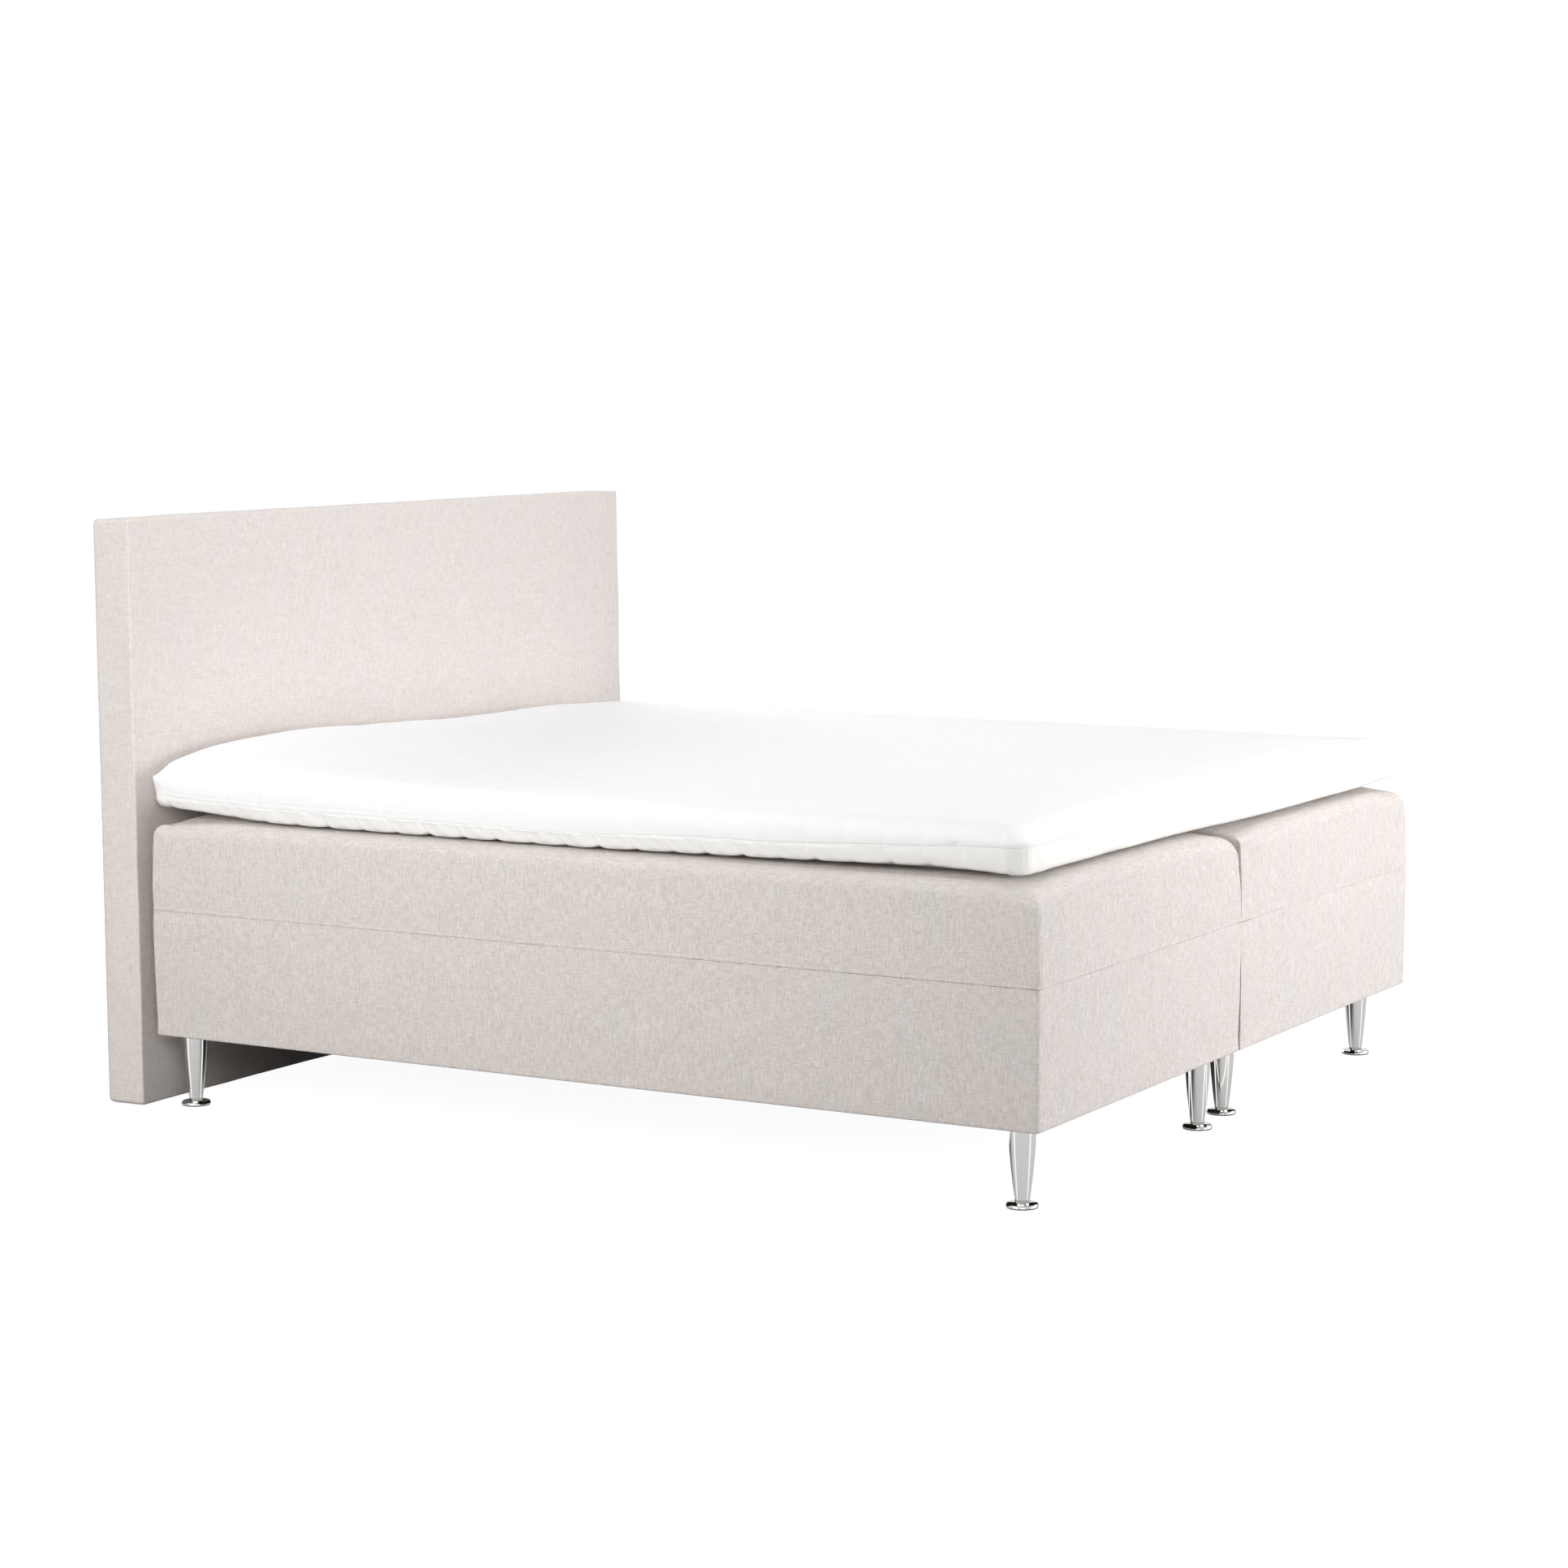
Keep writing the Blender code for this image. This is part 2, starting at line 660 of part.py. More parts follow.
for side_name, bracket_sign in (("left", -1), ("right", 1)):
    bracket_x = bracket_sign * (bed_width / 2 - bracket_inset)
    bracket_sides = (bracket_x - bracket_width / 2, bracket_x + bracket_width / 2)
    bracket = loft("headboard_bracket_" + side_name,
                   [[(x, y, z) for y, z in bracket_outline] for x in bracket_sides], zinc_steel)
    holes = []
    for offset in (-screw_spread, screw_spread):
        holes.append(Matrix.Translation((bracket_x + offset, frame_hole_y, bracket_foot)))
        upright = Matrix.Translation((bracket_x + offset, upright_front_y, upright_hole_z))
        holes.append(upright @ along_y)
    combine(bracket, bores("bracket_holes_" + side_name, holes, screw_hole_radius,
                           -cutter_overrun, bracket_thickness + cutter_overrun))

# Floor pads under the headboard
pad_depth = headboard_thickness / 2
pad_top = (headboard_clearance * math.cos(headboard_lean)
           - (pad_depth + pad_radius) * math.sin(headboard_lean) - contact_gap)
pad_mesh = turned_mesh("floor_pad", [
    (0, pad_top),
    (pad_radius, pad_top),
    (pad_radius, 0),
    (0, 0),
], small_turned_steps)
for side_name, pad_side in (("left", -1), ("right", 1)):
    pad_place = (pad_side * (board_half_x - pad_inset), headboard_front_y + pad_depth, 0)
    add_object("headboard_floor_pad_" + side_name, pad_mesh, black_plastic, pad_place, smooth=True)


def round_corner(x, y, half_x, half_y):
    """Move a point of a rectangle's corner square onto the round corner's disc."""
    radius = topper_corner_radius
    over_x = abs(x) - (half_x - radius)
    over_y = abs(y) - (half_y - radius)
    if over_x <= 0 or over_y <= 0:
        return x, y
    shrink = max(over_x, over_y) / math.hypot(over_x, over_y)
    new_x = half_x - radius + over_x * shrink
    new_y = half_y - radius + over_y * shrink
    return math.copysign(new_x, x), math.copysign(new_y, y)


def spread(half, inner_insets, runs):
    """Places across a pad: insets from each edge, and equal runs between the innermost two."""
    edge = [-half + inset for inset in inner_insets]
    length = -2 * edge[-1]
    middle = [edge[-1] + length * index / runs for index in range(1, runs)]
    return edge + middle + [-place for place in reversed(edge)]


edge_insets = (0, topper_edge_step, topper_edge_radius)
topper_xs = spread(topper_half_x, edge_insets + (topper_shoulder_inset,), 2)
topper_ys = spread(topper_half_y, edge_insets, 2 * topper_channels)


def topper_height(x, y):
    """Height of the topper's top above its half line, before the channels."""
    from_edge = min(topper_half_x - abs(x), topper_half_y - abs(y), topper_edge_radius)
    side_run = topper_edge_radius - from_edge
    rise = math.sqrt(topper_edge_radius ** 2 - side_run ** 2) / topper_edge_radius
    across = 1 - abs(x / topper_half_x) ** topper_crown_power
    along = 1 - abs(y / topper_half_y) ** (2 * topper_crown_power)
    return (topper_edge_top - topper_half_line) * rise + topper_crown_rise * across * along


def in_channel(index):
    """One at the stitched line between two channels, zero on a channel's crest."""
    first = len(edge_insets) - 1
    between = first <= index <= len(topper_ys) - 1 - first
    return 1 if between and (index - first) % 2 == 0 else 0


# Top half of the topper's cover
top_bm = bmesh.new()
columns, rows = len(topper_xs), len(topper_ys)
bmesh.ops.create_grid(top_bm, x_segments=columns - 1, y_segments=rows - 1, size=1)
for vert in top_bm.verts:
    column = round((vert.co.x + 1) / 2 * (columns - 1))
    row = round((vert.co.y + 1) / 2 * (rows - 1))
    flat_x, flat_y = topper_xs[column], topper_ys[row]
    stitched = in_channel(row)
    level = topper_height(flat_x, flat_y)
    level -= stitched * topper_channel_depth * min(1, level / topper_edge_radius)
    drawn = stitched * topper_tuck_depth if column in (0, columns - 1) else 0
    round_x, round_y = round_corner(flat_x, flat_y, topper_half_x, topper_half_y)
    vert.co = (round_x - math.copysign(drawn, round_x), round_y, level)
lining = bmesh.ops.extrude_face_region(top_bm, geom=top_bm.faces[:])
lining_x = 1 - topper_top_thickness / topper_half_x
lining_y = 1 - topper_top_thickness / topper_half_y
for item in lining["geom"]:
    if isinstance(item, bmesh.types.BMVert):
        drop = topper_top_thickness if item.co.z > 0 else 0
        item.co = (item.co.x * lining_x, item.co.y * lining_y, item.co.z - drop)
add_object("topper_top_cover", mesh_from(top_bm, "topper_top_cover"), topper_fabric,
           (0, topper_centre_y, topper_line_z), smooth=True)


def topper_ring(inset, z):
    """Round the topper at one inset, drawn in a little more where a channel is stitched."""
    half_x, half_y = topper_half_x - inset, topper_half_y - inset
    width_share, length_share = half_x / topper_half_x, half_y / topper_half_y
    xs = [x * width_share for x in topper_xs]
    ys = [y * length_share for y in topper_ys]
    tucks = [topper_tuck_depth * in_channel(index) for index in range(len(ys))]
    ring = [(x, -half_y, 0) for x in xs[:-1]]
    ring += [(half_x, y, tuck) for y, tuck in zip(ys[:-1], tucks[:-1])]
    ring += [(x, half_y, 0) for x in reversed(xs[1:])]
    ring += [(-half_x, y, tuck) for y, tuck in zip(reversed(ys[1:]), reversed(tucks[1:]))]
    points = []
    for x, y, tuck in ring:
        round_x, round_y = round_corner(x, y, half_x, half_y)
        points.append((round_x - math.copysign(tuck, round_x), round_y, z))
    return points


# Bottom half: a tray, outside from its flat underside to the half line and inside back down
tray_wall = topper_bottom_thickness + topper_tuck_depth
side_z = topper_bottom + topper_half_line * tray_side_share
roll_z = topper_bottom + topper_half_line * tray_roll_share
tray = [
    topper_ring(topper_underside_inset + topper_bottom_thickness, topper_bottom + topper_bottom_thickness),
    topper_ring(tray_wall, side_z),
    topper_ring(topper_bottom_thickness, topper_line_z - contact_gap),
    topper_ring(0, topper_line_z - contact_gap),
    topper_ring(topper_tuck_depth, side_z),
    topper_ring(topper_underside_inset * tray_side_share, roll_z),
    topper_ring(topper_underside_inset, topper_bottom),
]
loft("topper_bottom_cover", tray, topper_fabric, location=(0, topper_centre_y, 0), smooth=True)

# Core: a crowned slab, its rim and foot drawn in from the cover's round edges
core_bottom = topper_bottom + topper_bottom_thickness + contact_gap
core_foot_inset = topper_underside_inset + tray_wall + contact_gap
core_drop = topper_top_thickness + topper_channel_depth + topper_core_slack
core_half_x, core_half_y = topper_half_x - topper_core_inset, topper_half_y - topper_core_inset
core_xs = spread(core_half_x, (0, topper_edge_radius, topper_shoulder_inset), 2)
core_ys = spread(core_half_y, (0, topper_edge_radius), topper_channels // 3)
core_bm = bmesh.new()
bmesh.ops.create_grid(core_bm, x_segments=len(core_xs) - 1, y_segments=len(core_ys) - 1, size=1)
for vert in core_bm.verts:
    at_rim = vert.is_boundary
    core_x = core_xs[round((vert.co.x + 1) / 2 * (len(core_xs) - 1))]
    core_y = core_ys[round((vert.co.y + 1) / 2 * (len(core_ys) - 1))]
    if at_rim:
        level = topper_line_z + topper_top_thickness
    else:
        level = topper_line_z + topper_height(core_x, core_y) - core_drop
    round_x, round_y = round_corner(core_x, core_y, core_half_x, core_half_y)
    vert.co = (round_x, round_y, level)
lowered = bmesh.ops.extrude_face_region(core_bm, geom=core_bm.faces[:])
narrowing_x = (topper_half_x - core_foot_inset) / core_half_x
narrowing_y = (topper_half_y - core_foot_inset) / core_half_y
for item in lowered["geom"]:
    if isinstance(item, bmesh.types.BMVert):
        item.co = (item.co.x * narrowing_x, item.co.y * narrowing_y, core_bottom)
add_object("topper_core", mesh_from(core_bm, "topper_core"), foam, (0, topper_centre_y, 0))
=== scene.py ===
"""Looks of the double bed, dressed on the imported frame. Metres, in the frame of the CAD model."""

import math

import bpy
import numpy as np
from mathutils import Matrix, Vector


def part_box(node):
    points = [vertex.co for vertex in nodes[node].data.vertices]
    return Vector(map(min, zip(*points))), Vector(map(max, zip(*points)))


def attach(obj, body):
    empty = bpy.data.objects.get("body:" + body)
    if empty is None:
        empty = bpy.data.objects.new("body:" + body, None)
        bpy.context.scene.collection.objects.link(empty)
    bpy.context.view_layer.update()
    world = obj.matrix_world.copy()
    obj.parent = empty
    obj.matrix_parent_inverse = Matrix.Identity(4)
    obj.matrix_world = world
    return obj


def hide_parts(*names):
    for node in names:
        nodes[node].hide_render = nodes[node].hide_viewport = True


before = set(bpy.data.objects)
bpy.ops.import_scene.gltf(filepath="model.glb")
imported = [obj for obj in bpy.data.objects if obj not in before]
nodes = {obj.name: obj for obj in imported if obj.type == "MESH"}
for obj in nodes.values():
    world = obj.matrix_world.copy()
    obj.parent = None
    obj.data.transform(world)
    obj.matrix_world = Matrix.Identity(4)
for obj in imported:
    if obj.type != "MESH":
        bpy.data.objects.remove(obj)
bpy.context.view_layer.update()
sides = {"left": -1, "right": 1}
ends = {"foot": -1, "head": 1}
quarter = math.pi / 2

# Sizes the frame's boxes don't give
contact = 0.0003
corner_radius = 0.009
lean = math.radians(0.65)
sharp_angle = math.radians(35)


# Meshes

def graded(half, fine, coarse, growth=1.5):
    """Places from -half to half, close together at both ends."""
    near, step = [0.0], fine
    while step < coarse and near[-1] + step < half:
        near.append(near[-1] + step)
        step *= growth
    runs = max(1, math.ceil(2 * (half - near[-1]) / coarse))
    middle = np.linspace(-half + near[-1], half - near[-1], runs + 1)
    end = np.array(near[:-1])
    return np.concatenate([end - half, middle, (half - end)[::-1]])


def ring_shares(along_x, along_y, turns):
    """A rounded rectangle's points, anticlockwise: shares of its straight sides, and normals."""
    rows = []
    for side, run in enumerate((along_y, along_x, along_y, along_x)):
        out = (math.cos(side * quarter), math.sin(side * quarter))
        ahead = (-out[1], out[0])
        for share in run[1:-1]:
            rows.append((out[0] + ahead[0] * share, out[1] + ahead[1] * share, *out))
        for step in range(turns + 1):
            angle = (side + step / turns) * quarter
            rows.append((out[0] + ahead[0], out[1] + ahead[1], math.cos(angle), math.sin(angle)))
    return np.array(rows)


def rings_of(rows, shares, half, centre, roundness=1.0):
    """Points and normals of rings at rows of (inset, height, corner radius)."""
    inset, height, radius = np.array(rows, float).T
    normal = unit(np.stack([np.gradient(height), np.gradient(inset)], axis=1))
    count = len(shares)
    radius = (radius[:, None] * (roundness * np.ones(count)))[..., None]
    sides_run = (half[0], half[1]) - inset[:, None, None] - radius
    flat = shares[None, :, :2] * sides_run + shares[None, :, 2:] * radius + (centre[0], centre[1])
    level = np.repeat(height[:, None], count, axis=1)[..., None]
    points = np.concatenate([flat, level], axis=2)
    across = shares[None, :, 2:] * normal[:, None, :1]
    upward = np.repeat(normal[:, 1:2], count, axis=1)[..., None]
    return points, np.concatenate([across, upward], axis=2)


def linked(name, data):
    """An object of some data, linked into the scene."""
    item = bpy.data.objects.new(name, data)
    bpy.context.scene.collection.objects.link(item)
    return item


def mesh_object(name, points, faces, *materials):
    """A linked mesh of points and faces."""
    mesh = bpy.data.meshes.new(name)
    mesh.from_pydata(np.asarray(points, float).reshape(-1, 3).tolist(), [], faces)
    for material in materials:
        mesh.materials.append(material)
    return linked(name, mesh)


def new_object(name, points, faces, material, body="bed", smooth=True):
    """A mesh object that rides on a body and takes its finish from a slot."""
    item = mesh_object(name, points, faces, material)
    if smooth:
        item.data.shade_smooth()
    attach(item, body)
    return item


def ring_faces(rings, cap_first=False, cap_last=False, start=0):
    """Quads between rings, and a face over either end."""
    count, around = rings.shape[:2]
    index = np.arange(count * around).reshape(count, around) + start
    after = np.roll(index, -1, axis=1)
    faces = np.stack([index[:-1], after[:-1], after[1:], index[1:]], axis=-1).reshape(-1, 4).tolist()
    if cap_last:
        faces.append(index[-1].tolist())
    if cap_first:
        faces.append(index[0][::-1].tolist())
    return faces


def grid_faces(rows, columns):
    """Quads of a grid whose columns run along X and rows along Y, facing up."""
    index = np.arange(rows * columns).reshape(rows, columns)
    return np.stack([index[:-1, :-1], index[:-1, 1:], index[1:, 1:], index[1:, :-1]],
                    axis=-1).reshape(-1, 4).tolist()


def lump(points, size, seed, waves=9):
    """Smooth noise of about -1 to 1 at points, with lumps of one size."""
    chance = np.random.default_rng(seed)
    total = np.zeros(points.shape[:-1])
    for _ in range(waves):
        direction = chance.normal(size=3)
        direction *= 2 * math.pi / (2 * size * np.linalg.norm(direction)) * chance.uniform(0.6, 1.4)
        total += np.sin(points @ direction + chance.uniform(0, 2 * math.pi))
    return total / math.sqrt(waves)


def ease(value, low, high):
    """Zero below low, one above high, and a smooth turn between."""
    share = np.clip((value - low) / (high - low), 0, 1)
    return share * share * (3 - 2 * share)


def plateau(value, low, full, leave, high):
    """One between full and leave, fading to nothing at low and high."""
    return ease(value, low, full) * (1 - ease(value, leave, high))


def hill(value, width):
    """One at zero, fading on both sides over a width."""
    return np.exp(-((value / width) ** 2))


def lumps(points, *layers):
    """Sum of smooth noises, each a (depth, size, seed)."""
    return sum(depth * lump(points, size, seed) for depth, size, seed in layers)


def quarter_arc(steps, size=1.0, first=0):
    """Even steps of a quarter turn, as (what its sine lacks of one, what its cosine lacks), times a size."""
    angles = [step / steps * quarter for step in range(first, steps + 1)]
    return [(size * (1 - math.sin(angle)), size * (1 - math.cos(angle))) for angle in angles]


def unit(vectors):
    """Vectors brought to length one."""
    return vectors / np.maximum(np.linalg.norm(vectors, axis=-1, keepdims=True), 1e-9)


def middle_of(name):
    """Low corner, high corner and middle of a CAD node's box."""
    low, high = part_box(name)
    return low, high, (low + high) / 2


def corners_of(low, high, level):
    """Four corners of a level rectangle, anticlockwise."""
    return np.array([(low[0], low[1], level), (high[0], low[1], level), (high[0], high[1], level),
                     (low[0], high[1], level)])


def circle(radius, steps):
    """X and Y of even places round a circle."""
    angle = np.arange(steps) / steps * 2 * math.pi
    return radius * np.cos(angle), radius * np.sin(angle)


def crease(points, start, end, width):
    """One along a short fold from start to end, fading over its width and towards its ends."""
    start, end = np.array(start), np.array(end)
    run = end - start
    share = np.clip(((points - start) @ run) / (run @ run), 0, 1)
    away = np.linalg.norm(points - start - share[..., None] * run, axis=-1)
    return hill(away, width) * np.sin(math.pi * np.clip(share, 0.02, 0.98))


def turned(name, profile, steps, material, middle, body):
    """Piece turned about an upright line from a profile of (radius, height), bottom first."""
    radius, height = np.array(profile, float).T[..., None]
    across, along = circle(radius, steps)
    points = np.stack([across + middle.x, along + middle.y, height + 0 * across], axis=-1)
    item = new_object(name, points, ring_faces(points, True, True), material, body)
    item.data.set_sharp_from_angle(angle=sharp_angle)
    return item


def pill(length, radius, around=6, bend=0.0):
    """Rings of a small rounded rod along X, its ends bent down."""
    places = (-1, -0.94, -0.8, 0, 0.8, 0.94, 1)
    sizes = (0.25, 0.7, 1, 1, 1, 0.7, 0.25)
    across, up = circle(radius, around)
    rings = []
    for place, size in zip(places, sizes):
        along = np.full(around, place * length / 2)
        rings.append(np.stack([along, across * size, up * size - bend * abs(place) ** 3], axis=-1))
    return np.array(rings)


def rods(name, template, places, material, body):
    """Copies of one rod, each at a place of (point, direction, up), in one mesh."""
    points, faces = [], []
    flat = template.reshape(-1, 3)
    for number, (point, direction, up) in enumerate(places):
        direction = unit(direction)
        side = unit(np.cross(up, direction))
        turn = np.stack([direction, side, np.cross(direction, side)])
        points.append(flat @ turn + point)
        faces += ring_faces(template, True, True, number * len(flat))
    return new_object(name, np.concatenate(points), faces, material, body)


def stitch_places(line, pitch, lift=0.0):
    """Even places along a closed line of points, each with its direction and the way out."""
    line = np.concatenate([line, line[:1]])
    step = np.linalg.norm(np.diff(line, axis=0), axis=1)
    run = np.concatenate([[0], np.cumsum(step)])
    places = []
    for along in np.arange(pitch / 2, run[-1], pitch):
        point, after = [np.array([np.interp(at, run, line[:, axis]) for axis in range(3)])
                        for at in (along, along + pitch / 4)]
        direction = after - point
        if np.linalg.norm(direction) < pitch / 20:
            continue
        out = unit(np.cross(direction, (0, 0, 1)))
        places.append((point + out * lift, direction, out))
    return places


def fine_loop(corners, count):
    """Points along a closed outline, a count of them to each side."""
    share = np.linspace(0, 1, count, endpoint=False)[:, None]
    return np.concatenate([first + (second - first) * share
                           for first, second in zip(corners, np.roll(corners, -1, axis=0))])


# Materials

def feed(tree, made, inputs):
    """Set a node's inputs to values, or link them to other nodes' outputs."""
    for name, value in inputs.items():
        if isinstance(value, bpy.types.NodeSocket):
            tree.links.new(value, made.inputs[name])
        else:
            made.inputs[name].default_value = value


def shader_node(tree, kind, inputs=None, **settings):
    """A new shader node with its settings and inputs."""
    made = tree.nodes.new("ShaderNode" + kind)
    for name, value in settings.items():
        setattr(made, name, value)
    feed(tree, made, inputs or {})
    return made


def here(tree):
    """Places in object space."""
    return shader_node(tree, "TexCoord").outputs["Object"]


def new_material(name):
    """A new material, its node tree and its shader."""
    material = bpy.data.materials.new(name)
    material.use_nodes = True
    return material, material.node_tree, material.node_tree.nodes["Principled BSDF"]


def noise_at(tree, scale, detail=2.0, roughness=0.55, seed=0.0):
    """Noise in object space, stretched by a scale for each axis."""
    shift = (seed, seed * 0.7, seed * 1.3)
    placed = shader_node(tree, "Mapping", {"Vector": here(tree), "Scale": scale, "Location": shift})
    inputs = {"Vector": placed.outputs["Vector"], "Scale": 1.0, "Detail": detail, "Roughness": roughness}
    return shader_node(tree, "TexNoise", inputs).outputs["Fac"]


def ramp(tree, value, *stops):
    """Colours along a value, as (place, colour) stops."""
    made = shader_node(tree, "ValToRGB", {"Fac": value})
    points = made.color_ramp.elements
    while len(points) < len(stops):
        points.new(0.5)
    for point, (place, colour) in zip(points, stops):
        point.position = place
        point.color = (*colour, 1.0)
    return made.outputs["Color"]


def mixed(tree, first, second, share=0.5, kind="FLOAT", how="MIX"):
    """Two values or colours mixed by a share."""
    inputs = {"Factor": share, "A": first, "B": second}
    return shader_node(tree, "Mix", inputs, data_type=kind, blend_type=how).outputs["Result"]


def bumpy(tree, height, distance, strength):
    """Normals of fine relief from a height value, its depth in metres."""
    inputs = {"Height": height, "Distance": distance, "Strength": strength}
    return shader_node(tree, "Bump", inputs).outputs["Normal"]


def melange(name, dark, middle, light, reach, relief):
    """Linen-like cloth of mixed threads, with slubs that run up and, more faintly, across."""
    material, tree, shader = new_material(name)
    upright = noise_at(tree, (420, 420, 62), 3.0, 0.6)
    across = noise_at(tree, (48, 48, 460), 3.0, 0.6, 3.1)
    threads = mixed(tree, upright, across, 0.42)
    colour = ramp(tree, threads, (0.50 - reach, dark), (0.50, middle), (0.50 + reach, light))
    blotch = noise_at(tree, (16, 16, 7), 3.0, 0.6, 7.7)
    warmth = ramp(tree, blotch, (0.35, (1.0, 0.99, 0.98)), (0.65, (0.985, 0.995, 1.0)))
    weave_up = noise_at(tree, (1500, 1500, 150), 1.0, 0.5, 1.3)
    weave_over = noise_at(tree, (150, 150, 1500), 1.0, 0.5, 2.3)
    height = mixed(tree, threads, mixed(tree, weave_up, weave_over))
    feed(tree, shader, {
        "Base Color": mixed(tree, colour, warmth, 1.0, "RGBA", "MULTIPLY"), "Roughness": 0.92,
        "Specular IOR Level": 0.2, "Sheen Weight": 0.12, "Sheen Roughness": 0.5,
        "Normal": bumpy(tree, height, relief, 0.8),
    })
    return material


def knit(name, colour, shade):
    """Fine white knit with a soft uneven hand."""
    material, tree, shader = new_material(name)
    fine = noise_at(tree, (900, 900, 900), 2.0, 0.6)
    soft = noise_at(tree, (60, 60, 60), 2.0, 0.5, 4.0)
    feed(tree, shader, {
        "Base Color": ramp(tree, mixed(tree, fine, soft, 0.4), (0.32, shade), (0.6, colour)),
        "Normal": bumpy(tree, mixed(tree, fine, soft, 0.35), 0.0006, 0.5),
        "Roughness": 0.9, "Specular IOR Level": 0.2, "Sheen Weight": 0.05,
    })
    return material


def chromed(name, colour, low, high):
    """Polished plating, a little uneven in its gloss."""
    material, tree, shader = new_material(name)
    handled = noise_at(tree, (90, 90, 60), 3.0, 0.6)
    gloss = shader_node(tree, "MapRange", {"Value": handled, "To Min": low, "To Max": high})
    dull = [value * 0.96 for value in colour]
    feed(tree, shader, {
        "Base Color": ramp(tree, handled, (0.2, dull), (0.8, colour)),
        "Roughness": gloss.outputs["Result"], "Metallic": 1.0,
    })
    return material


def grained(name, dark, light, scale, roughness, depth):
    """Material whose grain is noise, of one scale or stretched by one for each axis."""
    material, tree, shader = new_material(name)
    scale = np.ones(3) * scale
    grain = noise_at(tree, scale, 4.0, 0.6)
    patch = noise_at(tree, scale * 0.11, 2.0, 0.5, 5.0)
    feed(tree, shader, {
        "Base Color": ramp(tree, mixed(tree, grain, patch, 0.3), (0.32, dark), (0.66, light)),
        "Normal": bumpy(tree, grain, depth, 0.6), "Roughness": roughness,
    })
    return material


greige = ((0.645, 0.587, 0.543), (0.737, 0.679, 0.642), (0.808, 0.760, 0.731))
base_fabric = melange("bed_linen_greige", *greige, 0.090, 0.0040)
board_fabric = melange("headboard_linen_greige", *greige, 0.15, 0.0022)
thread = grained("sewing_thread", (0.74, 0.69, 0.66), (0.80, 0.76, 0.73), 900, 0.8, 0.0001)
topper_fabric = knit("topper_knit", (0.872, 0.871, 0.872), (0.846, 0.845, 0.846))
# Lower half of the topper cover: the same knit made darker and warmer, as painted shade and warm bounce light
# on its sides.
lower_knit_painted_shade = knit("topper_lower_knit_painted_shade", (0.872, 0.860, 0.832), (0.842, 0.830, 0.803))
chrome = chromed("leg_chrome", (0.60, 0.595, 0.58), 0.03, 0.09)
zinc = chromed("zinc_steel", (0.56, 0.57, 0.58), 0.3, 0.48)
pine = grained("pine_board", (0.55, 0.38, 0.21), (0.76, 0.60, 0.40), (90, 6, 90), 0.65, 0.0004)
chipboard = grained("chipboard", (0.40, 0.29, 0.18), (0.66, 0.53, 0.38), 260, 0.8, 0.0005)
foam = grained("foam", (0.78, 0.74, 0.60), (0.90, 0.87, 0.76), 420, 0.95, 0.0008)
spring_cloth = grained("spring_cloth", (0.74, 0.75, 0.77), (0.88, 0.89, 0.90), 700, 0.92, 0.0004)
felt = grained("grey_felt", (0.20, 0.20, 0.20), (0.45, 0.45, 0.44), 500, 0.96, 0.0006)
black_cloth = grained("black_cloth", (0.012, 0.012, 0.012), (0.045, 0.044, 0.042), 800, 0.9, 0.0003)
black_plastic = grained("black_plastic", (0.02, 0.02, 0.02), (0.04, 0.04, 0.04), 500, 0.55, 0.0001)

# Carried-over nodes keep their shapes and get these materials
carried = {
    "foam_case": foam, "springs": spring_cloth, "divider_felt": felt, "board": pine, "deck": pine,
    "stile": pine, "rail": pine, "headboard_board": chipboard, "headboard_foam": foam,
    "bracket": zinc, "coupling": zinc, "topper_core": foam, "floor_pad": black_plastic,
}
for node_name, node in nodes.items():
    for key, material in carried.items():
        if key in node_name:
            node.data.materials.clear()
            node.data.materials.append(material)
            if key in ("headboard_board", "headboard_foam"):
                break

# Bases: a lower band with its hem turned under, and an upper lid above the seam
roll = 0.0007
corner_seam_inset = 0.0108
foot_end = -1.066
staple = pill(0.010, 0.0006, bend=0.0008)
down, forward = np.array((0.0, 0.0, -1.0)), np.array((0.0, -1.0, 0.0))


def corner_seam(points, shares, side):
    """Narrow seam with a low ridge beside it, on the end faces next to each outer corner."""
    low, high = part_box(side + "_upper_cover")
    corner_x = low.x if side == "left" else high.x
    away = np.abs(np.abs(points[..., 0] - corner_x) - corner_seam_inset)
    slit = np.where(away < 0.0003, -0.0036, 0)
    ridge = 0.0005 * hill(away - 0.0030, 0.0020)
    uneven = 0.7 + 0.3 * lump(points, 0.02, 15)
    return (slit + ridge) * uneven * (np.abs(shares[:, 3]) > 0.99)


def keep_apart(points, sign):
    """Hold a unit back from the middle line between the two units."""
    points[..., 0] = np.where(sign * points[..., 0] < contact, sign * contact, points[..., 0])
    return points


def corner_roundness(shares, sign):
    """Full at a unit's outer corners but the right unit's at the foot, and nearly square inside."""
    outer = np.where((sign > 0) & (shares[:, 1] < 0), 0.3, 1.0)
    return np.where(shares[:, 0] * sign > 0, outer, 0.12)


def recess(points, side):
    """How far the right unit's foot end falls back next to the left unit."""
    if side == "left":
        return 0.0
    return 0.0022 * np.exp(-np.abs(points[..., 0]) / 0.026) * (points[..., 1] < 0)


def spread(points, side):
    """The right unit's foot end on the right, which stands out a little."""
    if side == "left":
        return points
    x, y, _ = np.moveaxis(points.copy(), -1, 0)
    points[..., 0] += 0.004 * ease(x, 0.75, 0.90) * hill(y - foot_end, 0.30)
    points[..., 1] -= 0.0024 * ease(x, 0.55, 0.90) * hill(y - foot_end, 0.05)
    return points


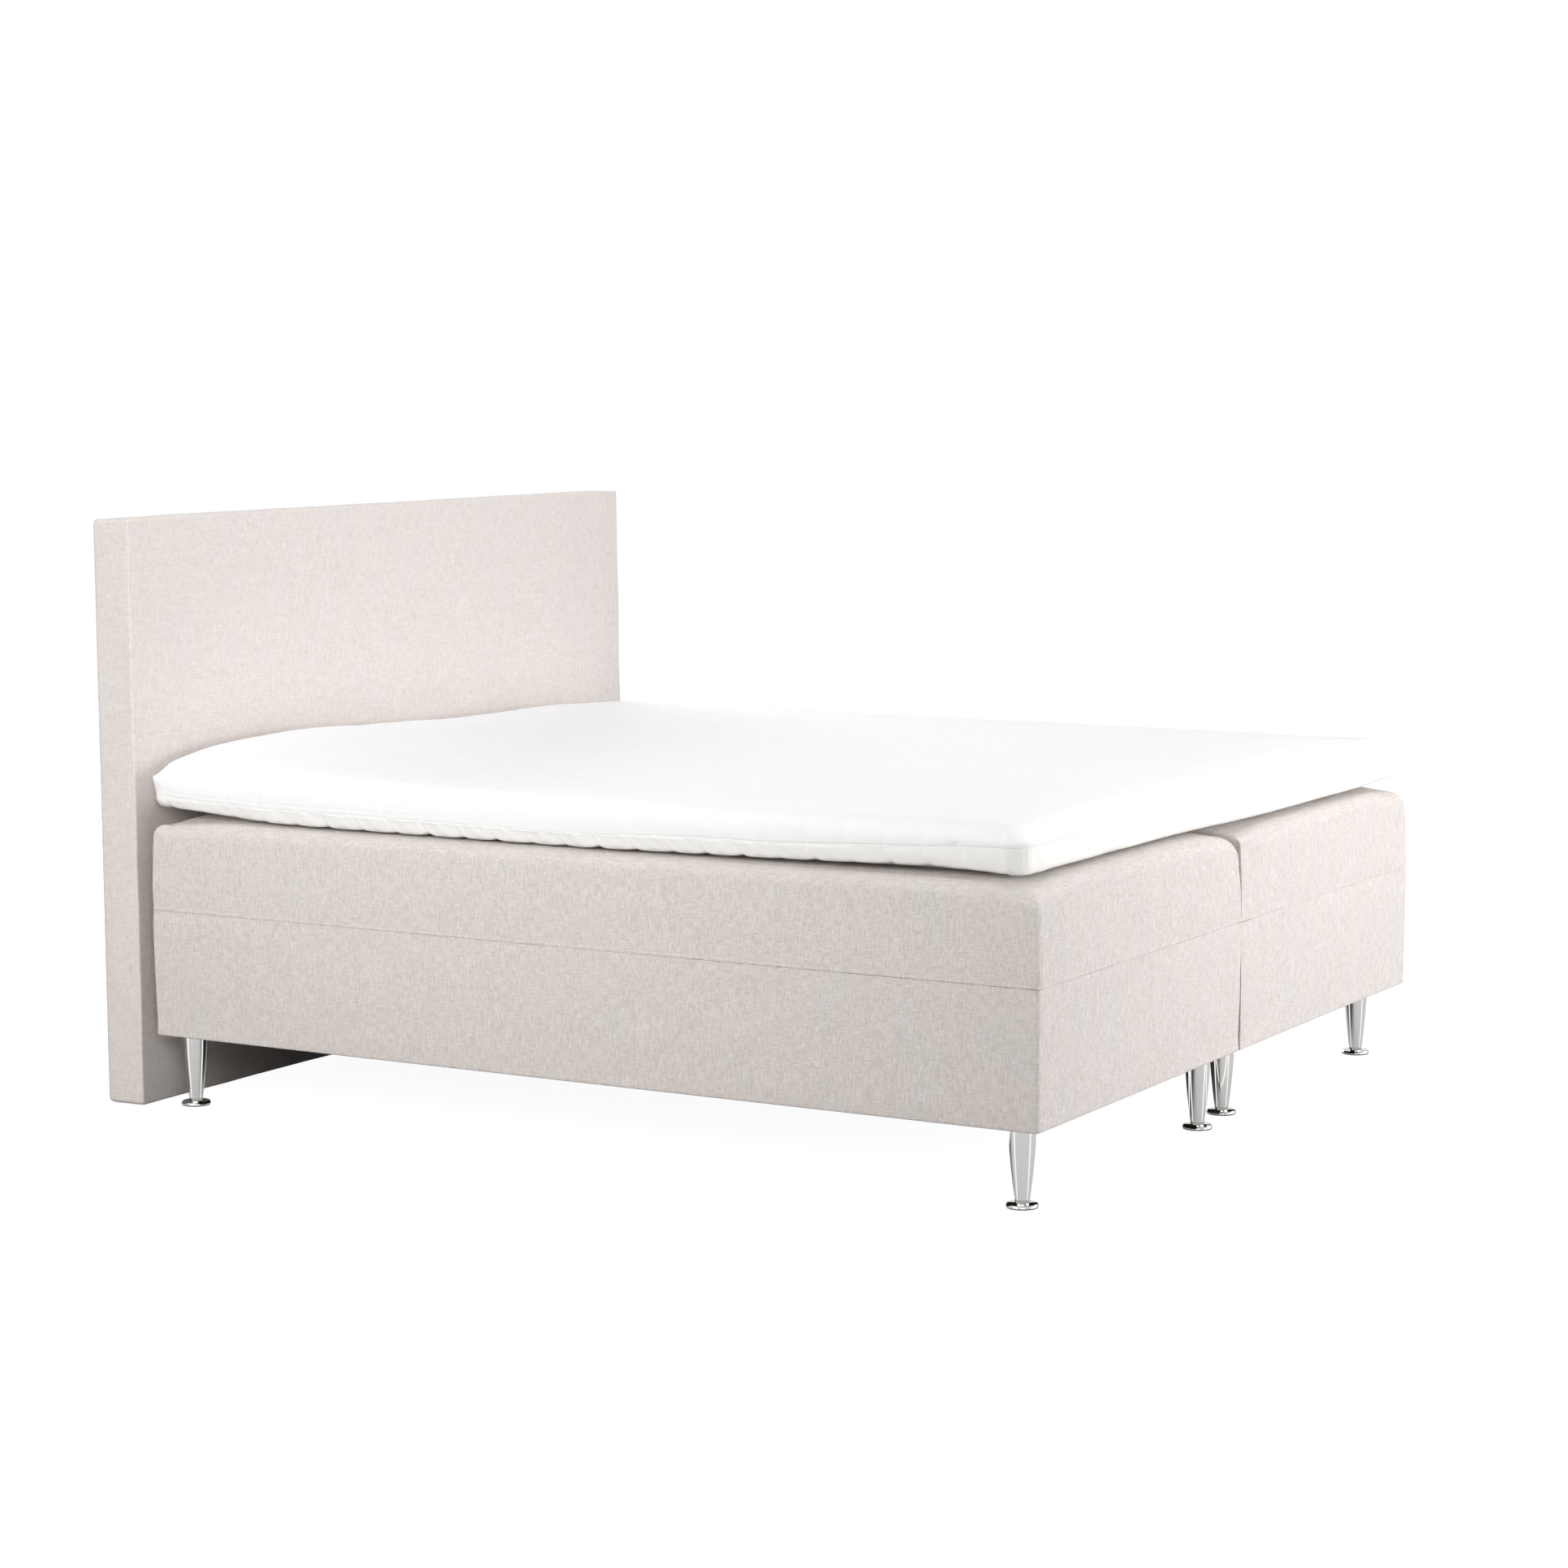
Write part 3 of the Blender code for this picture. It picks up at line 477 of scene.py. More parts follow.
def eased_seam(points, shares, side, seam):
    """Shallower seam groove: hardly a line on the foot end, and fainter towards the head."""
    low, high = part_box(side + "_upper_cover")
    at_seam = np.abs(points[..., 2] - seam) < 0.0013
    foot_share = 0.10 if side == "left" else 0.03
    side_share = 0.10 + 0.50 * ease(-points[..., 1], 0.0, 0.9)
    faces = ((1, low.y, 1, foot_share, 0.4), (0, low.x, 1, side_share, 0.4 + side_share),
             (0, high.x, -1, side_share, 0.4 + side_share))
    for axis, face, inward, depth_share, height_share in faces:
        deep = (points[..., axis] - face) * inward - 0.0001
        turned_in = (shares[:, 2 + axis] * inward < -0.7) & at_seam & (deep > 0) & (deep < 0.0029)
        eased = face + inward * (0.0001 + deep * depth_share)
        points[..., axis] = np.where(turned_in, eased, points[..., axis])
        points[..., 2] = np.where(turned_in, seam + (points[..., 2] - seam) * height_share, points[..., 2])
    return points


def base_shares(half):
    """Ring of a base: close together at the corners."""
    runs = (half[0] - corner_radius, half[1] - corner_radius)
    along_x, along_y = [graded(run, 0.0015, 0.014) / run for run in runs]
    slit = 1 - (corner_seam_inset + np.array([-0.0007, 0, 0.0007]) - 0.007) / (half[0] - 0.007)
    kept = along_x[np.abs(np.abs(along_x) - slit[1]) > 0.0016]
    along_x = np.sort(np.concatenate([kept, slit, -slit]))
    return ring_shares(along_x, along_y, 16)


def settled(points, side):
    """Lid or foam points with the top sunk at its corners and rounder next to the other unit."""
    low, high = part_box(side + "_upper_cover")
    sign = sides[side]
    points = np.array(points, float)
    x, y, z = np.moveaxis(points.copy(), -1, 0)
    away, drop = sign * x, high.z - z
    course = (0, 0.030, 0.12, 3), (0, 0.046 if side == "left" else 0.013, 0.12, 3)
    rounder_away, rounder_drop = np.interp(away, *course), np.interp(drop, *course)
    points[..., 0] = sign * (away + (rounder_away - away) * (1 - ease(drop, 0.05, 0.12)))
    points[..., 2] = high.z - drop - (rounder_drop - drop) * (1 - ease(away, 0.05, 0.12))
    corner = np.hypot(np.minimum(x - low.x, high.x - x), np.minimum(y - low.y, high.y - y))
    sink = 0.012 * hill(corner, 0.11)
    if side == "right":
        sink += 0.006 * hill(y - low.y, 0.12)
    else:
        head_left = np.hypot(x - low.x, y - high.y)
        sink -= 0.012 * hill(head_left, 0.040) * ease(drop, 0.002, 0.008)
    points[..., 2] -= sink * ease(z, low.z + 0.02, high.z - 0.02)
    return points


def build_lid(side):
    """Upper lid: rolled lower edge, stitched seam, full sides and a crowned top."""
    low, high, centre = middle_of(side + "_upper_cover")
    half, sign = (high - low) / 2, sides[side]
    seam, edge_drop, edge_radius = low.z, 0.0015, 0.032
    corner, top_corner = 0.007, 0.018
    face_top = high.z - edge_drop - edge_radius
    rows = [(0.012, seam + 0.0022, 0.004), (0.006, seam + 0.0009, 0.005)]
    rows += [(inset, seam + contact + rise, corner) for inset, rise in quarter_arc(4, roll)]
    for rise, proud in ((0.0026, 0.0002), (0.0038, 0.0002), (0.0048, 0.0001), (0.0056, -0.0001),
                        (0.0062, -0.0002), (0.0068, -0.0001), (0.0078, 0.0), (0.0092, 0.0001)):
        rows.append((-proud, seam + rise, corner))
    for level in np.linspace(seam + 0.0125, face_top, 16):
        share = (level - seam) / (face_top - seam)
        rows.append((0.003 * share - 0.0012 * math.sin(math.pi * share), level, corner))
    for step, (short, inset) in enumerate(quarter_arc(10, edge_radius, 1), 1):
        radius = corner + (top_corner - corner) * step / 10
        rows.append((0.003 + inset, face_top + edge_radius - short, radius))
    shoulder = rows[-1][0]
    for inset in (0.045, 0.055, 0.068, 0.082, 0.098, 0.115, 0.135, 0.165, 0.2, 0.25, 0.31, 0.37, 0.42, 0.447):
        rise = edge_drop * math.sin(quarter * min(1, (inset - shoulder) / 0.11))
        rows.append((inset, high.z - edge_drop + rise, min(top_corner, half.x - inset - 0.0005)))
    shares = base_shares(half)
    points, normals = rings_of(rows, shares, half, centre, corner_roundness(shares, sign))
    level = points[..., 2]
    fade = ease(level, seam + 0.004, seam + 0.05)
    fade *= 1 - 0.6 * ease(level, high.z - 0.02, high.z)
    relief = lumps(points, (0.0013, 0.19, 11 + sign), (0.0004, 0.055, 21 + sign)) * fade
    relief += 0.0003 * lump(points, 0.018, 31 + sign) * (1 - ease(level, seam + 0.01, seam + 0.03))
    upright = plateau(level, seam + 0.001, seam + 0.004, high.z - 0.045, high.z - 0.02)
    relief += (corner_seam(points, shares, side) - recess(points, side)) * upright
    stitched = hill(level - seam - 0.0062, 0.0008) - hill(level - seam - 0.0036, 0.0014)
    relief += 0.0002 * stitched * (shares[:, 3] < -0.7)
    points = eased_seam(points, shares, side, seam)
    points = keep_apart(spread(settled(points + normals * relief[..., None], side), side), sign)
    faces = ring_faces(points, cap_last=True)
    lid = new_object(side + "_lid", points, faces, base_fabric, "bed")
    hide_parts(side + "_upper_cover")
    row = next(number for number, found in enumerate(rows) if found[1] >= seam + 0.0062)
    kept = [place for place in stitch_places(points[row], 0.0048, 0.0002)
            if abs(place[0][0]) > 0.006 and place[0][1] > low.y + 0.008]
    rods(side + "_topstitch", pill(0.0037, 0.00042, bend=0.0004), kept, thread, "bed")


def build_band(side):
    """Lower band: hem turned under the frame, full sides and a rolled upper edge."""
    low, high, centre = middle_of(side + "_lower_cover")
    half, sign = (high - low) / 2, sides[side]
    bottom, top = low.z, high.z
    corner, hem_width, hem_thickness = 0.007, 0.033, 0.0035
    rows = [(hem_width, bottom + hem_thickness, 0.002), (hem_width, bottom + 0.001, 0.002),
            (hem_width - 0.0005, bottom + contact, 0.002), (0.024, bottom, 0.004), (0.014, bottom, 0.006)]
    rows += [(0.003 + inset, bottom + rise, corner) for inset, rise in quarter_arc(4, 0.0035)]
    for level in np.linspace(bottom + 0.008, top - 0.012, 24):
        share = (level - bottom) / (top - bottom)
        rows.append((0.003 * (1 - share) - 0.0012 * math.sin(math.pi * share), level, corner))
    rows += [(0.0002, top - drop, corner) for drop in (0.008, 0.005, 0.003)]
    rows += [(inset, top - drop, corner) for drop, inset in quarter_arc(4, roll)]
    rows += [(0.006, top - 0.0006, 0.005), (0.012, top - 0.0020, 0.004)]
    shares = base_shares(half)
    points, normals = rings_of(rows, shares, half, centre, corner_roundness(shares, sign))
    level = points[..., 2]
    fade = plateau(level, bottom + 0.002, bottom + 0.03, top - 0.03, top - 0.003)
    puckered = ease(level, top - 0.03, top - 0.01) - ease(level, top - 0.0016, top)
    relief = lumps(points, (0.0014, 0.21, 41 + sign), (0.0004, 0.06, 51 + sign)) * fade
    relief += 0.0003 * lump(points, 0.016, 61 + sign) * puckered
    relief -= recess(points, side) * ease(level, bottom + 0.001, bottom + 0.004)
    relief += 0.4 * corner_seam(points, shares, side) * fade
    points = eased_seam(points, shares, side, top)
    points = keep_apart(spread(points + normals * relief[..., None], side), sign)
    band = new_object(side + "_band", points, ring_faces(points), base_fabric, "bed")
    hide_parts(side + "_lower_cover")


def stretched_cloth(name, low, high, level, sag, node, place=None, ripple=0.0006):
    """Cloth held flat at its edges, sagging a little between them."""
    xs, ys = [graded((high[axis] - low[axis]) / 2, 0.006, 0.03) + (high[axis] + low[axis]) / 2
              for axis in (0, 1)]
    grid_x, grid_y = np.meshgrid(xs, ys)
    share_x = (grid_x - low[0]) / (high[0] - low[0])
    share_y = (grid_y - low[1]) / (high[1] - low[1])
    belly = np.sin(math.pi * share_x) * np.sin(math.pi * share_y)
    points = np.stack([grid_x, grid_y, np.full_like(grid_x, level)], axis=-1)
    points[..., 2] += sag * belly + ripple * lump(points, 0.05, 71) * np.minimum(1, 4 * belly)
    if place is not None:
        points = points @ np.array(place.to_3x3()).T + np.array(place.translation)
    cloth = new_object(name, points, grid_faces(*grid_x.shape), black_cloth, "bed")
    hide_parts(node)


def copied_mesh(node_name):
    """Points and faces of a CAD node."""
    mesh = nodes[node_name].data
    return np.array([vert.co for vert in mesh.vertices]), [list(face.vertices) for face in mesh.polygons]


def build_foam(side):
    """Foam case under a lid, sunk where the lid is."""
    points, faces = copied_mesh(side + "_foam_case")
    inset = np.minimum(points - points.min(axis=0), points.max(axis=0) - points)[:, :2].min(axis=1)
    outside = (inset < 0.028) | (points[:, 2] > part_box(side + "_upper_springs")[1].z + 0.002)
    points = np.where(outside[:, None], settled(points, side), points)
    piece = new_object(side + "_foam", points, faces, foam, "bed", smooth=False)
    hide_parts(side + "_foam_case")


for side in sides:
    build_lid(side)
    build_band(side)
    build_foam(side)
    low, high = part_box(side + "_dust_cover")
    stretched_cloth(side + "_dust_cloth", low, high, low.z + 0.0008, 0.0004, side + "_dust_cover")
    staples = [(point - out * 0.007, direction, down)
               for point, direction, out in stitch_places(fine_loop(corners_of(low, high, low.z), 40), 0.055)]
    rods(side + "_staples", staple, staples, zinc, "bed")

# Legs and levelling glides
thread_pitch = 0.00150
leg_top, leg_low = 0.1497, 0.0083
disc = [(0.0288, 0.0021), (0.0294, 0.0022), (0.0299, 0.0028), (0.0300, 0.0037), (0.0298, 0.0043),
        (0.0281, 0.0076), (0.0275, 0.0080), (0.0060, 0.0080), (0.0050, 0.0084)]
# Black pad under each glide disc: a dark piece that stands in for the shade in the recess at the disc's
# bottom edge.
shade_pad_profile = [(0.0262, 0.0), (0.0287, 0.0002), (0.0291, 0.0019), (0.0288, 0.0020)]
angle = np.arange(32) / 32 * 2 * math.pi
for name in ["_".join((side, end, place)) for side in sides for end in ends for place in ("outer", "inner")]:
    low, high, middle = middle_of(name + "_leg")
    outline = [(0.0053, 0.0344), (0.0053, leg_low + 0.0006), (0.0060, leg_low), (0.0125, leg_low),
               (0.0131, leg_low + 0.0005)]
    for up in np.arange(1, 29) / 28:
        radius = 0.025 - (0.025 - 0.0132) * (1 - up) ** 1.6
        outline.append((radius, leg_low + 0.0005 + (leg_top - 0.0012 - leg_low - 0.0005) * up))
    outline += [(0.0247, leg_top - 0.0005), (0.0240, leg_top), (0.005, leg_top), (0.005, high.z - 0.001),
                (0.0042, high.z)]
    leg = turned(name + "_chrome_leg", outline, 72, chrome, middle, "bed")
    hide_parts(name + "_leg")
    body = name + "_glide"
    plain = turned(name + "_glide_disc", disc, 72, chrome, middle, body)
    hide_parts(body)
    rings = []
    for level in np.arange(0.0080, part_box(body)[1].z, thread_pitch / 8):
        turn = (angle / (2 * math.pi) - level / thread_pitch) % 1
        depth = 0.00055 * (1 - np.abs(2 * turn - 1)) * ease(level, 0.0085, 0.0105)
        radius = 0.0050 - depth
        rings.append(np.stack([middle.x + radius * np.cos(angle), middle.y + radius * np.sin(angle),
                               np.full(32, level)], axis=-1))
    rings = np.array(rings)
    new_object(name + "_glide_stem", rings, ring_faces(rings, True, True), zinc, body)
    # Dark pad under the disc, as painted shade at its bottom edge.
    turned(name + "_glide_shade_pad", shade_pad_profile, 72, black_plastic, middle, body)

# Screws in the coupling plates and brackets, and the pads under the headboard
screw_profile = ((-0.0022, 0.0010), (-0.0022, 0.0019), (0.0, 0.0019), (0.0, 0.0040), (0.0004, 0.0043),
                 (0.0012, 0.0038), (0.0017, 0.0027), (0.0018, 0.0018), (0.0017, 0.0016), (0.0007, 0.0015),
                 (0.0006, 0.0004))
screw = np.array([np.stack([np.full(20, along), *circle(radius, 20)], axis=-1)
                  for along, radius in screw_profile])
screw_places = []
for end in ends:
    low, high, middle = middle_of("coupling_plate_" + end)
    for along_x in (-0.0158, 0.0158):
        for along_y in (-0.012, 0.012):
            screw_places.append(((along_x, middle.y + along_y, low.z), down, forward))
for side in sides:
    low, high, middle = middle_of("headboard_bracket_" + side)
    for along_x in (-0.012, 0.012):
        screw_places.append(((middle.x + along_x, 0.9187, low.z), down, forward))
        screw_places.append(((middle.x + along_x, 0.9549, 0.1777), forward, down))
screws = rods("plate_and_bracket_screws", screw, screw_places, zinc, "bed")
screws.data.set_sharp_from_angle(angle=sharp_angle)
pad_profile = [(0.0104, 0.0), (0.0116, 0.0004), (0.012, 0.0012), (0.012, 0.0034), (0.0115, 0.0040)]
for name in ["headboard_floor_pad_" + side for side in sides]:
    pad = turned(name + "_disc", pad_profile, 48, black_plastic, middle_of(name)[2], "bed")
    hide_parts(name)

# Headboard: front and side panels joined at a seam round the front edge
low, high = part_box("headboard_cover")
floor_gap, board_top, front_y = 0.005, 1.2, 0.9575
board_half = ((high.x - low.x) / 2, (board_top - floor_gap) / 2)
stand = Matrix.Translation((0, front_y, 0)) @ Matrix.Rotation(quarter - lean, 4, "X")
stand = stand @ Matrix.Translation((0, floor_gap + board_half[1], 0))
turn, shift = np.array(stand.to_3x3()), np.array(stand.translation)
thick, board_edge, front_edge, board_corner = 0.095, 0.010, 0.0048, 0.008
rows = [(0.045, 0.003 - thick, 0.004), (0.045, 0.0005 - thick, 0.004), (0.044, -thick, 0.004),
        (0.034, -thick, 0.005), (0.020, -thick, 0.008)]
rows += [(inset, rise - thick, board_corner - inset * 0.4) for inset, rise in quarter_arc(6, board_edge)]
rows += [(0, depth, board_corner) for depth in np.linspace(0.017 - thick, -0.016, 7)]
rows += [(inset, -depth, board_corner) for depth, inset in (
    (0.0120, 0.0), (0.0096, 0.0), (0.0084, 0.0002), (0.0077, 0.0004), (0.0070, 0.0002), (0.0060, -0.0001),
    (0.0048, -0.0001))]
rows += [(inset, 0.0040 - short / 1.2 - front_edge, board_corner)
         for short, inset in quarter_arc(6, front_edge, 1)]
for inset in (0.008, 0.012, 0.018, 0.026, 0.04, 0.06, 0.085, 0.115, 0.15, 0.19, 0.235, 0.285, 0.34, 0.40,
              0.46, 0.52, 0.57, 0.5955):
    swell = 0.0012 * ease(inset, 0.008, 0.07)
    rows.append((inset, swell - 0.0008, min(board_corner, board_half[1] - inset - 0.001)))
along_x, along_y = [graded(half - board_corner, 0.002, 0.02) / (half - board_corner) for half in board_half]
points, normals = rings_of(rows, ring_shares(along_x, along_y, 14), board_half, (0, 0))
relief = lumps(points, (0.0011, 0.23, 81), (0.0004, 0.07, 91))
relief *= ease(points[..., 2], 0.002 - thick, 0.02 - thick)
near_seam = hill(points[..., 2] + 0.0077, 0.004)
relief = relief * (1 - 0.8 * near_seam) + 0.0002 * near_seam * lump(points, 0.015, 95)
points = (points + normals * relief[..., None]) @ turn.T + shift
panel = new_object("headboard_upholstery", points, ring_faces(points, cap_last=True),
                   board_fabric, "bed")
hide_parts("headboard_cover")
cloth_half = np.array(board_half) - 0.0453
back_level = 0.0020 - thick
stretched_cloth("headboard_back_sheet", -cloth_half, cloth_half, back_level, 0.0004, "headboard_back_cloth",
                stand, ripple=0.0002)
stapled = corners_of(0.007 - cloth_half, cloth_half - 0.007, back_level - 0.0002)
staples = [(turn @ point + shift, turn @ direction, turn @ down)
           for point, direction, _ in stitch_places(fine_loop(stapled, 60), 0.055)]
rods("headboard_staples", staple, staples, zinc, "bed")

# Topper
topper_low, topper_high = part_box("topper_top_cover")
pad_half = ((topper_high.x - topper_low.x) / 2 + 0.0005, (topper_high.y - topper_low.y) / 2)
pad_x, pad_y = pad_half
pad_mid = (topper_high.y + topper_low.y) / 2
pad_centre = (0.0, pad_mid)
line_z, pad_bottom = topper_low.z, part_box("topper_bottom_cover")[0].z
pad_corner, pad_edge, pad_rise, pad_crown = 0.040, 0.045, 0.046, 0.030
straight = (pad_x - pad_corner, pad_y - pad_corner)
channels = 24
channel_ends = pad_y - pad_edge
pitch = 2 * channel_ends / channels
chance = np.random.default_rng(5)
tuck_lines = np.linspace(-channel_ends, channel_ends, channels + 1)
tuck_slack = 0.28 + 0.72 * ease(tuck_lines, -0.95, -0.35) * (1 - 0.75 * ease(tuck_lines, 0.30, 0.75))
tuck_slants = 0.003 + 0.022 * tuck_slack + 0.008 * tuck_slack * chance.random(channels + 1)
tuck_depths = 0.15 + 1.35 * chance.random(channels + 1) ** 1.5

# How far the line runs above or below its height, at places from foot to head
line_course = np.array([
    (-1.02, 0.010), (-0.955, 0.0105), (-0.84, 0.006), (-0.61, -0.003), (-0.43, -0.008), (-0.24, -0.012),
    (-0.05, -0.018), (0.03, -0.019), (0.15, -0.0155), (0.28, -0.014), (0.42, -0.013), (0.56, -0.0155),
    (0.70, -0.014), (0.77, -0.0113), (0.843, -0.007), (0.917, -0.0015), (0.96, 0.001),
]).T


def line_wander(y, x):
    """How far the seam round the topper strays up and down."""
    where = np.stack([x, y, np.zeros_like(x)], axis=-1)
    return np.interp(y, *line_course) + lumps(where, (0.0012, 0.16, 101), (0.0005, 0.05, 102))


def raised(points):
    """Lift of the underside: a little along the edges, more at the head left corner and foot left."""
    x, y, z = np.moveaxis(points, -1, 0)
    from_middle = y - pad_mid
    share = np.clip(1 - np.hypot((x + pad_x) / 0.30, (pad_y - from_middle) / 0.36), 0, 1)
    inset = np.minimum(pad_x - np.abs(x), pad_y - np.abs(from_middle))
    course = np.interp(y, (-1.02, -0.95, -0.84, -0.6, -0.3, -0.1), (0.001, 0.007, 0.011, 0.007, 0.003, 0))
    along_edge = (0.0030 + course * (x < 0)) * (1 - ease(inset, 0.025, 0.085))
    low = 1 - ease(z, pad_bottom + 0.004, line_z - 0.004)
    return (along_edge + 0.017 * ease(share, 0, 1)) * low


def laid(points):
    """How the cover lies: head left and foot right corners pointed, foot end askew on the right."""
    x, y = points[..., 0], points[..., 1] - pad_mid
    upper = ease(points[..., 2], line_z, line_z + 0.045)
    head = (0.001 + 0.006 * upper) * hill(np.hypot(x + pad_x, y - pad_y), 0.065)
    foot = hill(np.hypot(x - pad_x, y + pad_y), 0.075)
    askew = 0.020 * ease(x, -0.35, 0.30) * ease(-y, 0.35, 0.95)
    bow = 0.011 * ease(-x, 0.80, 0.86) * ease(0.90 - np.abs(y), 0.0, 0.45)
    return np.stack([0.041 * foot - head - bow, head - askew - 0.011 * foot, 0.010 * foot], axis=-1)


def sewn(y):
    """Nearest channel line to a place along the topper, and the share of a channel away from it."""
    share = (y + channel_ends) / pitch
    number = np.clip(np.round(share), 0, channels).astype(int)
    return number, share - number


def stations(*half_shares):
    """Places along the topper: the same shares of each channel, mirrored, and its end."""
    share = np.array(half_shares)
    share = np.concatenate([share, 1 - share[-2::-1]])[:-1]
    return np.concatenate([(tuck_lines[:-1, None] + pitch * share).ravel(), [channel_ends]])


def build_topper_top():
    """Upper half: crowned, with channels across, drawn in at the seam round it."""
    rises = np.array([0, 0.001, 0.002, 0.0035, 0.005, 0.0062, 0.0070, 0.0076, 0.0083, 0.0093, 0.011, 0.0135,
                      0.017, 0.021, 0.025, 0.029, 0.033, 0.037, 0.0405, 0.0435, 0.0453]) / pad_rise
    near = pad_edge * (1 - np.sqrt(1 - rises ** 2))
    run_x = np.linspace(-pad_x + pad_edge, pad_x - pad_edge, 92)
    run_y = stations(0, 0.02, 0.05, 0.1, 0.17, 0.27, 0.38, 0.5)
    xs, ys = [np.concatenate([near - half, run, (half - near)[::-1]])
              for half, run in zip(pad_half, (run_x, run_y))]
    plan = np.stack(np.meshgrid(xs, ys), axis=-1)
    x, y = np.moveaxis(plan, -1, 0)
    to_side, to_end = np.moveaxis(pad_half - np.abs(plan), -1, 0)
    inset = np.minimum(to_side, to_end)
    capped = np.minimum(inset, pad_edge)
    share = capped / pad_edge
    rise = np.sqrt(np.clip(pad_edge ** 2 - (pad_edge - capped) ** 2, 0, None)) / pad_edge
    pointed = hill(np.hypot(x + pad_x, y - pad_y), 0.06)
    rise = rise * (1 - pointed) + pointed * (0.74 * ease(share, 0, 0.06) + 0.14 * share)
    fall = np.where(y > 0, 26, 8)
    across = np.where(x < 0, 4 + 3 * ease(y, 0.25, 0.90), 4)
    crown = (1 - np.abs(x / pad_x) ** across) * (1 - np.abs(y / pad_y) ** fall)
    heap = 0.025 * hill(x + 0.50, 0.42) * ease(y, 0.25, 0.90)
    heap += 0.004 * hill(x + 0.71, 0.13) * ease(y, 0.55, 0.92)
    level = pad_rise * rise + pad_crown * crown + heap * ease(inset, 0.004, 0.045)
    number, away = sewn(y)
    valley = 1 - np.sin(np.abs(away) * math.pi) ** 0.75
    level -= 0.0008 * valley * ease(inset, 0.004, 0.05) * (np.abs(y) <= channel_ends + 0.02)
    over = np.abs(plan) - straight
    round_here = (over > 0).all(axis=-1)
    turning = round_here[..., None]
    distance = np.maximum(np.linalg.norm(over, axis=-1, keepdims=True), 1e-9)
    shrunk = over * over.max(axis=-1, keepdims=True) / distance
    placed = np.where(turning, np.sign(plan) * (straight + shrunk), plan) + (0, pad_mid)
    by_x = to_side < to_end
    out = np.sign(plan) * np.where(turning, over / distance, np.stack([by_x, ~by_x], axis=-1))
    steep = np.clip(1 - share, 0, 1)[..., None]
    out = unit(np.concatenate([out * steep, 1 - steep], axis=-1))
    points = np.concatenate([placed, (line_z + level)[..., None]], axis=-1)
    on_side = 1 - ease(inset, 0.010, 0.040)
    sideways = by_x | round_here
    drawn = -0.0014 * np.exp(-np.abs(away) * 9) * on_side * sideways * (np.abs(y) < channel_ends)
    full = 0.0016 * np.sin(math.pi * np.clip(level / pad_rise, 0, 1))
    lumpy = lumps(points, (0.0009, 0.11, 111), (0.0003, 0.03, 112))
    relief = drawn + full * on_side + lumpy * ease(level, 0.003, 0.03)
    strength = 0.25 + 0.75 * ease(points[..., 1], 0.1, 0.5)
    relief -= 0.0005 * hill(level - 0.0076, 0.0009) * strength + 0.0003 * hill(level, 0.0012)
    points += out * relief[..., None]
    wander = line_wander(points[..., 1], points[..., 0]) * (1 - ease(level, 0.0, 0.03))
    points[..., 2] += wander + 0.0004
    for along, height in ((-0.886, 0.006), (-0.993, 0.022)):
        fold = crease(points, (-pad_x, along - 0.010, line_z + height + 0.006),
                      (-pad_x, along + 0.012, line_z + height), 0.004)
        points -= out * (fold * 0.0045)[..., None]
    rng = np.random.default_rng(23)
    for _ in range(34):
        along = rng.uniform(-channel_ends, channel_ends) + pad_mid
        height = line_z + rng.uniform(0.003, 0.012)
        lean_by = rng.uniform(-0.02, 0.02)
        for x_side in (-pad_x, pad_x):
            top = height + rng.uniform(0.006, 0.016)
            fold = crease(points, (x_side, along, height), (x_side, along + lean_by, top), 0.0035)
            points -= out * (fold * rng.uniform(0.0006, 0.0018))[..., None]
    faces = grid_faces(*x.shape)
    index = np.arange(x.size).reshape(x.shape)
    rim = np.concatenate([index[0, :-1], index[:-1, -1], index[-1, :0:-1], index[:0:-1, 0]])
    flat = points.reshape(-1, 3)
    out_rim = unit(out.reshape(-1, 3)[rim] * (1, 1, 0))
    rings = [flat]
    loop = rim
    for inward, drop in ((0.0008, 0.0003), (0.0022, 0.0002), (0.0050, -0.0004), (0.0090, -0.0016)):
        inner = np.arange(len(rim)) + sum(len(ring) for ring in rings)
        faces += np.stack([loop, inner, np.roll(inner, -1), np.roll(loop, -1)], axis=-1).tolist()
        rings.append(flat[rim] - out_rim * inward - (0, 0, drop))
        loop = inner
    points = np.concatenate(rings)
    points += laid(points)
    top = new_object("topper_cover_top", points, faces, topper_fabric, "topper")
    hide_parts("topper_top_cover")


tray_profile = [
    (0.5, 0), (0.25, 0), (0.12, 0), (0.06, 0), (0.040, 0), (0.030, 0.0001), (0.022, 0.0003), (0.016, 0.0008),
    (0.0118, 0.0018), (0.0088, 0.0032), (0.0065, 0.005), (0.0047, 0.0074), (0.0033, 0.0105), (0.0021, 0.015),
    (0.0012, 0.02), (0.0005, 0.0255), (0.0001, 0.0305), (0, 0.0345), (0.0001, 0.038), (0.0003, 0.0415),
    (0.0005, 0.0446), (0.0007, 0.0465), (0.001, 0.0475), (0.0024, 0.0481), (0.01, 0.0472),
]


def smooth_between(at, places, values):
    """Smooth curve through rows of values at rising places, read at other places."""
    number = np.clip(np.searchsorted(places, at) - 1, 0, len(places) - 2)
    step = (places[number + 1] - places[number])[:, None]
    share = (at - places[number])[:, None] / step
    slope = np.gradient(values, places, axis=0)
    first, second = values[number], values[number + 1]
    bend = share * (1 - share) * ((1 - share) * slope[number] - share * slope[number + 1]) * step
    return first + (second - first) * ease(share, 0, 1) + bend


cloth_settings = {
    "quality": 5, "mass": 0.3, "tension_stiffness": 15, "compression_stiffness": 15, "shear_stiffness": 5,
    "bending_stiffness": 0.05, "use_pressure": True, "uniform_pressure_force": 4.0,
    "vertex_group_mass": "held", "shrink_min": -0.018,
}


